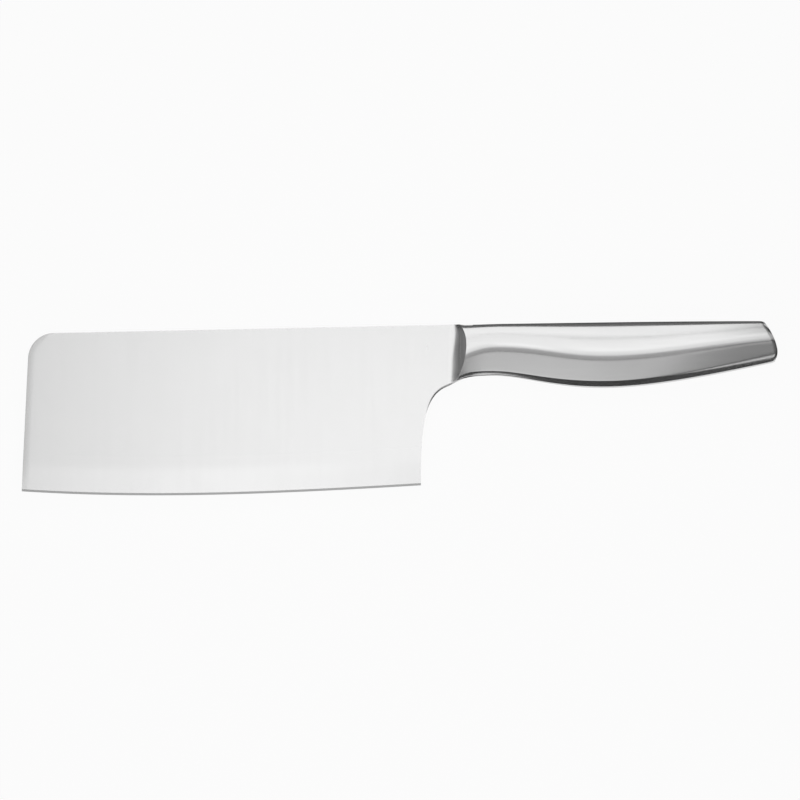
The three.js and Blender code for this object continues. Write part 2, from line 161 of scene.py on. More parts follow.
class BladeSizes(PropertyGroup):
    """Outline and grind of the blade, measured from the top of the bolster crest."""

    reach: length("Reach", 185, "Toe corner to crest")
    toe_height: length("Toe height", 65.8, "Edge to spine at the toe")
    toe_lean: length("Toe lean", 3.2, "How far the top of the toe is set back")
    toe_radius: length("Toe radius", 11, "Rounded corner between toe and spine")
    spine_drop: length("Spine drop", 3.8, "Fall of the spine from crest to toe")
    heel_setback: length("Heel setback", 18.6, "Heel corner to crest")
    heel_depth: length("Heel depth", 67.1, "Crest top to heel corner")
    toe_belly: length("Toe belly", 4.4, "Bulge of the edge on the toe side")
    heel_belly: length("Heel belly", 2.5, "Bulge of the edge on the heel side")
    heel_lift: length("Heel lift", 23, "Straight pull of the curve above the heel corner")
    choil_setback: length("Choil setback", 8.4, "Middle of the finger notch to crest")
    choil_depth: length("Choil depth", 26.3, "Crest top to the middle of the finger notch")
    choil_angle: angle("Choil angle", 24, "Slope of the finger notch at its middle")
    choil_pull: length("Choil pull", 10, "Roundness of the notch towards the heel")
    notch_pull: length("Notch pull", 8, "Roundness of the notch towards the handle")
    thickness: length("Thickness", 2.5, "Blade between its two flat sides")
    grind_knee: length("Grind knee", 11.5, "Height above the edge where the side turns in")
    grind_blend: length("Grind blend", 0.4, "Softness of the turn at the knee")
    bevel_height: length("Bevel height", 0.95, "Height of the sharpened bevel")
    bevel_thickness: length("Bevel thickness", 0.6, "Blade behind the sharpened bevel")
    edge_thickness: length("Edge thickness", 0.12, "Blade at the cutting edge")
    bolster_setback: length("Bolster setback", 8.745, "Crest to where the bolster's section begins")
    scoop_setback: length("Scoop setback", 6.85, "Crest to the foot of the scoop")
    scoop_top_power: share("Scoop top power", 5.2, "Curve of the scoop at the spine")
    scoop_low_power: share("Scoop low power", 2.2, "Curve of the scoop towards the notch")
    scoop_change: length("Scoop change", 25, "Depth over which the scoop's curve changes")
    crest_top_setback: length("Crest top setback", 2.6, "How far the crest curves forward at the spine")
    crest_low_setback: length("Crest low setback", 5.6, "How far the crest curves forward at the notch")
    crest_bow: length("Crest bow", 0.2, "How far the crest bows towards the handle")
    crest_bow_depth: length("Crest bow depth", 8.5, "Crest top to the rearmost point of the crest")
    crest_low_depth: length("Crest low depth", 25, "Crest top to the lower end of the crest")
    crest_round: length("Crest round", 0.3, "Softness of the crest")
    seam_setback: length("Seam setback", 3, "Crest to the welded seam behind it")
    spine_round: length("Spine round", 0.3, "Reach of the softened spine edges")
    spine_fall: length("Spine fall", 0.03, "Depth of the softened spine edges")
    toe_round: length("Toe round", 2.9, "Reach of the softened toe edges")
    toe_fall: length("Toe fall", 0.1, "Depth of the softened toe edges")
    choil_round: length("Choil round", 1.0, "Reach of the softened notch edges")
    choil_fall: length("Choil fall", 0.45, "Depth of the softened notch edges")
    choil_fade: length("Choil fade", 13, "How far below the notch its softened edges end")
    rim_power: share("Rim power", 1.6, "Curve of the softened edges")


class HandleSizes(PropertyGroup):
    """Side view and section of the hollow handle, measured from the top of the bolster crest."""

    length: length("Length", 130.2, "Crest to butt")
    top_rise: share("Top rise", 0.0143, "Slope of the handle's top behind the crest")
    top_level: length("Top level", 60, "Crest to where the top begins to level out")
    top_dip: length("Top dip", 0.3, "How far the top falls behind the crest")
    dip_run: length("Dip run", 2.5, "Length over which the top falls behind the crest")
    dip_end: length("Dip end", 18, "Crest to where most of the dip is made up again")
    dip_left: share("Dip left", 0.35, "Share of the dip that is never made up")
    neck_distance: length("Neck distance", 11, "Crest to the slimmest point")
    neck_depth: length("Neck depth", 21.4, "Depth at the slimmest point")
    swell_distance: length("Swell distance", 57.5, "Crest to the deepest point")
    swell_depth: length("Swell depth", 26.55, "Depth at the deepest point")
    butt_depth: length("Butt depth", 15.6, "Crest top to the lower corner of the butt")
    butt_rise: angle("Butt rise", 12, "Slope of the underside at the butt")
    butt_slant: length("Butt slant", 6.4, "Set-back of the upper corner of the butt")
    butt_corner: length("Butt corner", 1.3, "Set-back of the rounded lower corner of the butt")
    butt_corner_height: length("Butt corner height", 5.5, "Height of the butt's rounded lower corner")
    butt_curve: share("Butt curve", 2.0, "Power of the curve from lower to upper corner")
    butt_edge: length("Butt edge", 2.4, "Reach of the rounding around the butt face")
    butt_fall: length("Butt fall", 0.25, "Depth of the rounding around the butt face")
    butt_power: share("Butt power", 3.2, "Curve of the rounding around the butt face")
    neck_front_pull: length("Neck front pull", 12, "Fullness of the underside before the neck")
    neck_rear_pull: length("Neck rear pull", 13, "Fullness of the underside behind the neck")
    swell_front_pull: length("Swell front pull", 22, "Fullness of the underside before the swell")
    swell_rear_pull: length("Swell rear pull", 20, "Fullness of the underside behind the swell")
    butt_pull: length("Butt pull", 28, "Fullness of the underside before the butt")
    front_half: length("Front half width", 6.4, "Half width at the crest")
    swell_half: length("Swell half width", 8.6, "Half width at the swell")
    butt_half: length("Butt half width", 7.4, "Half width at the butt")
    butt_taper: angle("Butt taper", 3, "Slope of the sides at the butt")
    ridge_front_depth: length("Ridge front depth", 18.5, "Crest top to the ridge at the scoop")
    ridge_neck_depth: length("Ridge neck depth", 9, "Crest top to the ridge at the neck")
    ridge_swell_depth: length("Ridge swell depth", 12.7, "Crest top to the ridge at the swell")
    ridge_butt_depth: length("Ridge butt depth", 5.6, "Crest top to the ridge at the butt")
    ridge_neck_distance: length("Ridge neck distance", 13, "Crest to the top of the ridge's first arch")
    ridge_front_rise: angle("Ridge front rise", 50, "Slope of the ridge where it leaves the scoop")
    ridge_front_pull: length("Ridge front pull", 5, "Fullness of the ridge at the scoop")
    ridge_neck_pull: length("Ridge neck pull", 10, "Fullness of the ridge before the neck")
    ridge_butt_rise: angle("Ridge butt rise", 4, "Slope of the ridge at the butt")
    ridge_rear_pull: length("Ridge rear pull", 24, "Fullness of the ridge towards the butt")
    level_share: share("Level share", 0.4, "Share of a run over which its ends stay level")
    roll_reach: length("Roll reach", 3, "Half height of the rounded ridge")
    shoulder_power: share("Shoulder power", 3.5, "Fullness of the upper side face")
    top_angle: angle("Top angle", 43, "Lean of the shoulder where the flat top cuts it off")
    facet_angle: angle("Facet angle", 23.6, "Slope of the broad facet up to the swell")
    facet_butt_angle: angle("Facet butt angle", 27.5, "Slope of the broad facet at the butt")
    keel_height: length("Keel height", 3.0, "Underside to the lower end of the facet")
    keel_chamfer: length("Keel chamfer", 2.2, "Height of the narrow facet above the nose")
    keel_front: share("Keel front", 0.66, "Share of the keel's height up to the neck")
    chamfer_front: share("Chamfer front", 0.48, "Share of the narrow facet's height up to the neck")
    keel_angle: angle("Keel angle", 39, "Slope of the narrow facet")
    keel_round: length("Keel round", 0.15, "Rounding between the two facets up to the swell")
    keel_butt_round: length("Keel butt round", 2.0, "Rounding between the two facets at the butt")
    keel_flat: length("Keel flat", 0.3, "Half width of the flat under the keel")
    keel_fade: length("Keel fade", 16, "Crest to where the notch's flat has narrowed to the keel's")
    wall: length("Wall", 1.2, "Thickness of the pressed shells")
    fit: length("Fit", 0.3, "Clearance of the pieces inside the shells")
    cap_length: length("Cap length", 11, "Seam to the end of the butt")
    cap_spigot: length("Cap spigot", 5, "Length of the cap that enters the shells")
    tang_depth: length("Tang depth", 9.5, "Crest top to the line of the tang rivets")


class Finishes(PropertyGroup):
    """Colours and roughness of the metals and of the moulded core."""

    blade_steel: colour("Blade steel", (0.73, 0.73, 0.73), "Satin sides of the blade")
    blade_rough: share("Blade roughness", 0.25, "Roughness of the blade's sides")
    bevel_steel: colour("Bevel steel", (0.60, 0.60, 0.60), "Freshly ground cutting bevel")
    bevel_rough: share("Bevel roughness", 0.38, "Roughness of the cutting bevel")
    handle_steel: colour("Handle steel", (0.68, 0.68, 0.68), "Polished shells and cap")
    handle_rough: share("Handle roughness", 0.175, "Roughness of the shells and cap")
    core_plastic: colour("Core plastic", (0.045, 0.046, 0.048), "Moulded filler around the tang")
    rivet_steel: colour("Rivet steel", (0.48, 0.48, 0.49), "Rivets through core and tang")
    rivet_rough: share("Rivet roughness", 0.36, "Roughness of the rivets")
    weight_iron: colour("Weight iron", (0.16, 0.155, 0.15), "Cast slug in the butt")


class StageSizes(PropertyGroup):
    """Camera, floor and studio light."""

    lens: share("Lens", 180, "Focal length of the camera in millimetres")
    picture_width: length("Picture width", 333.3, "Width that the picture covers at the blade")
    aim_along: length("Aim along", 27.3, "Middle of the picture to the crest, along the knife")
    aim_down: length("Aim down", 31.52, "Crest top to the middle of the picture, across the knife")
    floor_size: length("Floor size", 40000, "Side of the square floor")
    floor_paper: colour("Floor paper", (0.95, 0.95, 0.95), "Pale paper under the knife")
    floor_white: share("Floor white", 0.93, "Plain white in the floor as camera and steel see it")
    room_grey: colour("Room grey", (0.04, 0.04, 0.04), "Walls of the studio around the lamps")


# Places that come from the frame

SHELL_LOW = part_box("handle_shell_left")[0]
RIVET_LOW, RIVET_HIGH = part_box("tang_rivet_front")


def knife_origin(blade, handle):
    """Top of the bolster crest in the middle of the blade, as the frame has it."""
    tang_line = (RIVET_LOW.y + RIVET_HIGH.y) / 2
    return np.array((SHELL_LOW.x - blade.seam_setback, tang_line + handle.tang_depth, SHELL_LOW.z))


# Curves of the side view


def ray(turn, reach):
    """Step of a given reach in a direction."""
    return np.array((math.cos(turn), math.sin(turn))) * reach


def bend(start, start_pull, end, end_pull):
    """Points of a curve that leaves and arrives along the given pulls."""
    t = np.linspace(0, 1, CURVE_STEPS + 1)[:, None]
    near = np.add(start, start_pull)
    far = np.subtract(end, end_pull)
    leaving = (1 - t) ** 3 * np.array(start) + 3 * t * (1 - t) ** 2 * near
    return leaving + 3 * t**2 * (1 - t) * far + t**3 * np.array(end)


def arc_bend(start, corner, end, steps):
    """Points of a simple bend round a corner."""
    t = np.linspace(0, 1, steps + 1)[:, None]
    return (1 - t) ** 2 * np.array(start) + 2 * t * (1 - t) * np.array(corner) + t**2 * np.array(end)


def level_run(start, end, level_share):
    """Smooth run between two points, level at both."""
    pull = ((end[0] - start[0]) * level_share, 0)
    return bend(start, pull, end, pull)


def smooth_step(value):
    """Soft rise from 0 to 1."""
    value = np.clip(value, 0, 1)
    return value * value * (3 - 2 * value)


def between(start, end, part):
    """Value part of the way from one to another."""
    return start + (end - start) * part


class Profile:
    """Lines and sections of the knife, from the top of the bolster crest and the middle of the blade."""

    def __init__(self, blade, handle):
        self.blade = blade
        self.handle = handle
        self.half = blade.thickness / 2
        self.foot = -blade.bolster_setback
        self.seam = blade.seam_setback
        self.cap_seam = handle.length - handle.cap_length
        self.slope = blade.spine_drop / (blade.reach - blade.toe_lean)
        self.toe_top = np.array((blade.toe_lean - blade.reach, -blade.spine_drop))
        self.toe_corner = np.array((-blade.reach, -blade.spine_drop - blade.toe_height))
        self.heel = np.array((-blade.heel_setback, -blade.heel_depth))
        choil = (-blade.choil_setback, -blade.choil_depth)
        neck = (handle.neck_distance, -handle.neck_depth)
        swell = (handle.swell_distance, -handle.swell_depth)
        butt = (handle.length, -handle.butt_depth)
        self.butt_low = butt[1]
        self.underside = np.vstack(
            (
                bend(self.heel, (0, blade.heel_lift), choil, ray(blade.choil_angle, blade.choil_pull)),
                bend(choil, ray(blade.choil_angle, blade.notch_pull), neck, (handle.neck_front_pull, 0)),
                bend(neck, (handle.neck_rear_pull, 0), swell, (handle.swell_front_pull, 0)),
                bend(swell, (handle.swell_rear_pull, 0), butt, ray(handle.butt_rise, handle.butt_pull)),
            )
        )
        ridge_front = (self.foot, -handle.ridge_front_depth)
        ridge_neck = (handle.ridge_neck_distance, -handle.ridge_neck_depth)
        ridge_swell = (handle.swell_distance, -handle.ridge_swell_depth)
        ridge_butt = (handle.length, -handle.ridge_butt_depth)
        front_pull = ray(handle.ridge_front_rise, handle.ridge_front_pull)
        rear_pull = ray(handle.ridge_butt_rise, handle.ridge_rear_pull)
        self.ridge_line = np.vstack(
            (
                bend(ridge_front, front_pull, ridge_neck, (handle.ridge_neck_pull, 0)),
                level_run(ridge_neck, ridge_swell, handle.level_share),
                bend(ridge_swell, (handle.ridge_rear_pull, 0), ridge_butt, rear_pull),
            )
        )
        width_front = (self.foot, handle.front_half)
        width_swell = (handle.swell_distance, handle.swell_half)
        width_butt = (handle.length, handle.butt_half)
        reach = (handle.length - handle.swell_distance) * handle.level_share
        self.width_line = np.vstack(
            (
                level_run(width_front, width_swell, handle.level_share),
                bend(width_swell, (reach, 0), width_butt, ray(-handle.butt_taper, reach)),
            )
        )
        crest_top = (-blade.crest_top_setback, 0)
        crest_back = (blade.crest_bow, -blade.crest_bow_depth)
        crest_low = (-blade.crest_low_setback, -blade.crest_low_depth)
        up_pull = np.multiply(blade.crest_top_setback, CREST_TOP_PULL)
        low_pull = np.multiply(blade.crest_low_setback, CREST_LOW_PULL)
        fall_depth = blade.crest_low_depth - blade.crest_bow_depth
        self.crest_line = np.vstack(
            (
                bend(crest_top, up_pull, crest_back, (0, -blade.crest_bow_depth * CREST_BOW_PULL)),
                bend(crest_back, (0, -fall_depth * CREST_FALL_PULL), crest_low, low_pull),
            )
        )[::-1]

    def crest(self, y):
        """Crest of the bolster at a given height."""
        return np.interp(y, self.crest_line[:, 1], self.crest_line[:, 0])

    def scoop_power(self, y):
        """Curve of the scoop at a given height, which changes most near the spine."""
        left = np.clip(1 + y / self.blade.scoop_change, 0, 1) ** SCOOP_FADE_POWER
        return between(self.blade.scoop_low_power, self.blade.scoop_top_power, left)

    def top(self, x):
        """Spine of the blade, then the handle's top, which dips behind the crest and levels out."""
        size = self.handle
        front = -self.blade.crest_top_setback
        past = x - front
        levelled = np.maximum(x - size.top_level, 0) ** 2 / (2 * (size.length - size.top_level))
        regained = smooth_step((past - size.dip_run) / (size.dip_end - size.dip_run))
        made_up = (1 - size.dip_left) * regained
        dip = size.top_dip * smooth_step(past / size.dip_run) * (1 - made_up)
        behind = self.slope * front + size.top_rise * (past - levelled) - dip
        return np.where(x < front, self.slope * x, behind)

    def edge(self, x):
        """Cutting edge: a shallow curve with more belly towards the toe."""
        t = (x - self.toe_corner[0]) / (self.heel[0] - self.toe_corner[0])
        chord = between(self.toe_corner[1], self.heel[1], t)
        sag = 3 * t * (1 - t) ** 2 * self.blade.toe_belly + 3 * t**2 * (1 - t) * self.blade.heel_belly
        return chord - sag

    def low(self, x):
        """Underside of notch and handle."""
        return np.interp(x, self.underside[:, 0], self.underside[:, 1])

    def butt(self, y):
        """End of the butt at a given height."""
        size = self.handle
        above = y - self.butt_low
        up = np.clip(above / (self.top(size.length) - self.butt_low), 0, 1)
        below = np.clip(1 - above / size.butt_corner_height, 0, 1)
        return size.length - (size.butt_slant * up**size.butt_curve + size.butt_corner * below**2)

    def half_section(self, x):
        """Left half of the handle's section as (z, y), from mid top to mid keel."""
        size = self.handle
        top = self.top(x)
        low = self.low(x)
        ridge = np.interp(x, self.ridge_line[:, 0], self.ridge_line[:, 1])
        half = np.interp(x, self.width_line[:, 0], self.width_line[:, 1])

        # Flat top and full shoulder, cut off where the shoulder leans by the top angle
        waist = ridge + size.roll_reach
        power = 2 / size.shoulder_power
        turn = math.pi / 4
        for _ in range(SETTLE_ROUNDS):
            rise = (top - waist) / math.sin(turn) ** power
            turn = math.atan((math.tan(size.top_angle) * rise / half) ** (1 / (2 - power)))
        rise = (top - waist) / math.sin(turn) ** power
        turn = np.linspace(turn, 0, SHOULDER_STEPS + 1)
        shoulder = np.column_stack((half * np.cos(turn) ** power, waist + rise * np.sin(turn) ** power))
        strip = np.column_stack(
            (np.linspace(0, shoulder[0, 0], TOP_STEPS, endpoint=False), np.full(TOP_STEPS, top))
        )

        # Rounded ridge, broad facet and the narrow facet below it
        corner = np.array((half, ridge))
        grown = smooth_step((x - size.neck_distance) / (size.swell_distance - size.neck_distance))
        behind = np.clip((x - size.swell_distance) / (size.length - size.swell_distance), 0, 1)
        keel_high = low + size.keel_height * between(size.keel_front, 1, grown)
        chamfer = size.keel_chamfer * between(size.chamfer_front, 1, grown)
        inward = math.tan(between(size.facet_angle, size.facet_butt_angle, smooth_step(behind)))
        steeper = math.tan(size.keel_angle)
        keel = np.array((half - (ridge - keel_high) * inward, keel_high))
        nose = keel - chamfer * np.array((steeper, 1))
        facet_way = (keel - corner) / np.linalg.norm(keel - corner)
        chamfer_way = (nose - keel) / np.linalg.norm(nose - keel)
        facet = corner + facet_way * size.roll_reach
        roll = arc_bend((half, waist), corner, facet, ROLL_STEPS)[1:]
        ease = between(size.keel_round, size.keel_butt_round, behind**2)
        before = keel - facet_way * ease
        flat = np.linspace(facet, before, FACET_STEPS + 1)[1:-1]
        fillet = arc_bend(before, keel, keel + chamfer_way * ease, FILLET_STEPS)

        # Rounded nose and the flat under it
        under = max(nose[0] - (nose[1] - low) * between(inward, steeper, grown), size.keel_flat)
        sole = min(between(self.half, size.keel_flat, smooth_step(x / size.keel_fade)), under)
        round_nose = arc_bend(nose, (under, low), (sole, low), NOSE_STEPS)
        return np.vstack((strip, shoulder, roll, flat, fillet, round_nose, (0, low)))


def drawn_in(section, depth):
    """Section moved towards its own middle line by a depth."""
    high = section[:, 1].max()
    low = section[:, 1].min()
    reach = min(section[:, 0].max(), (high - low) / 2)
    core = np.column_stack((np.zeros(len(section)), np.clip(section[:, 1], low + reach, high - reach)))
    way = core - section
    return section + way / np.linalg.norm(way, axis=1)[:, None] * depth


# Meshes and nodes


def new_piece(name, points, faces):
    """Object made of points in the knife's own measure, set into the frame."""
    scene = bpy.context.scene
    origin = knife_origin(scene.cleaver_blade, scene.cleaver_handle)
    mesh = bpy.data.meshes.new(name)
    mesh.from_pydata((np.asarray(points) + origin).tolist(), [], faces)
    mesh.validate()
    piece = bpy.data.objects.new(name, mesh)
    scene.collection.objects.link(piece)
    return piece


def settle(piece, slot, *nodes):
    """Hands a finished piece to the frame."""
    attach(piece, "root")
    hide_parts(*nodes)


def add(tree, kind, values=None, **settings):
    """New node with its settings; a value is a constant, or an output to join."""
    node = tree.nodes.new(kind)
    for name, value in settings.items():
        setattr(node, name, value)
    for key, value in (values or {}).items():
        if isinstance(value, bpy.types.NodeSocket):
            tree.links.new(value, node.inputs[key])
        else:
            node.inputs[key].default_value = value
    return node


def calc(tree, operation, *values):
    """Result of one sum on the given values."""
    return add(tree, "ShaderNodeMath", dict(enumerate(values)), operation=operation).outputs[0]


def new_socket(tree, name, direction, kind):
    """Named socket on a node group."""
    tree.interface.new_socket(name, in_out=direction, socket_type="NodeSocket" + kind)


def run_tree(piece, tree, settings):
    """Runs a geometry tree on a piece with its named inputs and keeps the result as a plain mesh."""
    modifier = piece.modifiers.new(tree.name, "NODES")
    modifier.node_group = tree
    for item in tree.interface.items_tree:
        if item.name in settings:
            modifier[item.identifier] = settings[item.name]
    graph = bpy.context.evaluated_depsgraph_get()
    made = bpy.data.meshes.new_from_object(
        piece.evaluated_get(graph), preserve_all_data_layers=True, depsgraph=graph
    )
    piece.modifiers.clear()
    blank = piece.data
    piece.data = made
    bpy.data.meshes.remove(blank)
    made.name = piece.name


# Blade


def toe_arc(profile):
    """Rounded corner between spine and toe, from the spine down."""
    radius = profile.blade.toe_radius
    spine_way = np.array((1, profile.slope))
    spine_way = spine_way / np.linalg.norm(spine_way)
    toe_way = profile.toe_corner - profile.toe_top
    toe_way = toe_way / np.linalg.norm(toe_way)
    opening = math.acos(spine_way @ toe_way) / 2
    middle = spine_way + toe_way
    centre = profile.toe_top + middle / np.linalg.norm(middle) * radius / math.sin(opening)
    start = profile.toe_top + spine_way * radius / math.tan(opening) - centre
    turn = math.atan2(start[1], start[0]) + np.linspace(0, math.pi - 2 * opening, TOE_ARC_POINTS)
    return centre + radius * np.column_stack((np.cos(turn), np.sin(turn)))


def blade_outline(profile):
    """Outline from the seam round spine, toe, edge and notch, with its rim's reach and depth."""
    blade = profile.blade
    arc = toe_arc(profile)
    collar_x = np.linspace(profile.seam, profile.foot, COLLAR_POINTS)
    spine_x = np.concatenate((collar_x, np.linspace(profile.foot, arc[0, 0], SPINE_POINTS)[1:]))
    spine = np.column_stack((spine_x, profile.top(spine_x)))
    toe = np.linspace(arc[-1], profile.toe_corner, TOE_POINTS)
    edge_x = np.linspace(profile.toe_corner[0], profile.heel[0], EDGE_STEPS + 1)
    edge = np.column_stack((edge_x, profile.edge(edge_x)))
    notch = profile.underside[profile.underside[:, 0] < profile.seam]
    notch = np.vstack((notch[1::NOTCH_STRIDE], (profile.seam, profile.low(profile.seam))))

    def stretch(points, reach, depth):
        reach = np.broadcast_to(reach, len(points))
        depth = np.broadcast_to(depth, len(points))
        return np.column_stack((points, reach, depth))

    # Fully soft from half way round the toe corner
    soften = smooth_step(np.linspace(0, 2, len(arc)))
    arc_reach = between(blade.spine_round, blade.toe_round, soften)
    arc_fall = between(blade.spine_fall, blade.toe_fall, soften)
    lift = smooth_step((notch[:, 1] + blade.choil_depth) / blade.choil_fade + 1)
    leave = 1 - smooth_step((notch[:, 0] - profile.foot) / (profile.seam - profile.foot))
    notch_reach = between(blade.spine_round, blade.choil_round, lift)
    return np.vstack(
        (
            stretch(spine, blade.spine_round, blade.spine_fall),
            stretch(arc[1:], arc_reach[1:], arc_fall[1:]),
            stretch(toe[1:], blade.toe_round, blade.toe_fall),
            stretch(edge[1:], blade.spine_round, 0.0),
            stretch(notch, notch_reach, blade.choil_fall * lift * leave),
        )
    )


def rim_rings(outline):
    """Lines that follow the softened rim at growing distances inside it."""
    points = outline[:, :2]
    along = np.roll(points, -1, axis=0) - np.roll(points, 1, axis=0)
    inside = np.column_stack((-along[:, 1], along[:, 0]))
    inside /= np.linalg.norm(inside, axis=1)[:, None]
    edge = np.flatnonzero(outline[:, 3] == 0)
    heel = edge[edge < len(outline) - 1][-1]
    rings = []
    for reach in RIM_RINGS:
        ring = points + inside * outline[:, 2:3] * reach
        rings.append(ring[: edge[0] - 1])
        rings.append(ring[heel + 2 : -1])
    return rings


def edge_lines(profile):
    """Lines along the edge at the heights where the grind changes."""
    blade = profile.blade
    spread = np.linspace(-KNEE_SPREAD, KNEE_SPREAD, KNEE_LINES) * MM
    heights = [blade.bevel_height, blade.bevel_height + ABOVE_BEVEL, *(blade.grind_knee + spread)]
    x = np.linspace(profile.toe_corner[0] - PAST_TOE, profile.heel[0] + PAST_HEEL, EDGE_STEPS + 1)
    return [np.column_stack((x, profile.edge(x) + height)) for height in heights]


def bolster_lines(profile):
    """Rows and columns over scoop and collar, with columns that close in on the crest."""
    stations = np.linspace(profile.foot, profile.seam, BOLSTER_STATIONS + 1)
    sections = np.array([profile.half_section(x) for x in stations])
    closing = np.array(CREST_LINES) * MM
    foot = -profile.blade.scoop_setback
    rows = []
    for k in range(TOP_STEPS, sections.shape[1] - 1):
        height = sections[:, k, 1]
        crest = 0.0
        for _ in range(CREST_ROUNDS):
            crest = profile.crest(np.interp(crest, stations, height))
        crest = max(crest, foot + LEAST_SCOOP_LINES)
        side = np.linspace(profile.foot, foot - BEFORE_FOOT, SIDE_COLUMNS)
        before = np.linspace(foot, crest - BESIDE_CREST, SCOOP_COLUMNS)
        after = np.linspace(crest + BESIDE_CREST, profile.seam, COLLAR_COLUMNS)
        x = np.concatenate((side, before, crest + closing, after))
        rows.append(np.column_stack((x, np.interp(x, stations, height))))
    rows = np.array(rows)
    guard_x = profile.foot - GUARD_GAP
    guard_top = np.array((guard_x, profile.top(guard_x))) - (0, GUARD_TOP)
    guard_low = np.array((guard_x, profile.low(guard_x))) + (0, GUARD_LOW)
    guard = np.linspace(guard_top, guard_low, GUARD_POINTS)
    return [*rows, *rows.transpose(1, 0, 2), guard], sections


def nearest_rim(points, outline):
    """Distance of each point to the outline up to the seam, and the rim's reach and depth there."""
    start = outline[:-1]
    end = outline[1:]
    way = end[:, :2] - start[:, :2]
    size = np.maximum((way**2).sum(1), TINY_AREA)
    found = np.empty((len(points), 3))
    for i, point in enumerate(points):
        t = np.clip(((point - start[:, :2]) * way).sum(1) / size, 0, 1)
        gap = np.linalg.norm(start[:, :2] + way * t[:, None] - point, axis=1)
        best = int(np.argmin(gap))
        found[i] = gap[best], *between(start[best, 2:], end[best, 2:], t[best])
    return found


def cut_blank(profile, outline, lines):
    """Points and faces of the flat blank, with the given lines drawn on it."""
    grid_x, grid_y = np.meshgrid(
        np.arange(profile.toe_corner[0] + GRID_FROM_TOE, profile.foot - GRID_FROM_FOOT, GRID_SPACING),
        np.arange(profile.heel[1] + GRID_FROM_HEEL, -GRID_FROM_SPINE, GRID_SPACING),
    )
    corners = [Vector(p) for p in outline[:, :2]]
    joins = []
    for line in lines:
        first = len(corners)
        corners.extend(Vector(p) for p in line)
        joins.extend((first + i, first + i + 1) for i in range(len(line) - 1))
    corners.extend(Vector(p) for p in np.column_stack((grid_x.ravel(), grid_y.ravel())))
    found = delaunay_2d_cdt(corners, joins, [list(range(len(outline)))], 0, JOIN_GAP)
    faces = [f for f, origin in zip(found[2], found[5]) if 0 in origin]
    used = np.unique(np.concatenate(faces))
    renumber = {int(old): new for new, old in enumerate(used)}
    points = np.array([tuple(p) for p in found[0]])[used]
    return points, [[renumber[i] for i in f] for f in faces]


def blade_blank(profile):
    """Flat blank of blade and bolster, with the measures that the grind needs on every point."""
    outline = blade_outline(profile)
    rows, sections = bolster_lines(profile)
    points, faces = cut_blank(profile, outline, [*rim_rings(outline), *edge_lines(profile), *rows])

    def width_at(x, y):
        along = np.clip((x - profile.foot) / (profile.seam - profile.foot), 0, 1) * BOLSTER_STATIONS
        low = min(int(along), BOLSTER_STATIONS - 1)
        side = between(sections[low], sections[low + 1], along - low)[TOP_STEPS:-1][::-1]
        return np.interp(y, side[:, 1], side[:, 0])

    rim = nearest_rim(points, outline)
    crest = profile.crest(points[:, 1])
    foot = np.minimum(-profile.blade.scoop_setback, crest - LEAST_SCOOP)
    width = np.full(len(points), NO_LIMIT)
    lift = np.zeros(len(points))
    for i in np.flatnonzero(points[:, 0] > profile.foot):
        width[i] = width_at(*points[i])
        lift[i] = width_at(crest[i], points[i, 1]) - profile.half
    measures = {
        "edge_height": points[:, 1] - profile.edge(points[:, 0]),
        "scoop_share": (points[:, 0] - foot) / (crest - foot),
        "scoop_lift": lift,
        "scoop_power": profile.scoop_power(points[:, 1]),
        "handle_half": width,
        "rim_inset": rim[:, 0] / rim[:, 1],
        "rim_fall": rim[:, 2] / profile.half,
    }
    return np.column_stack((points, np.zeros(len(points)))), faces, measures


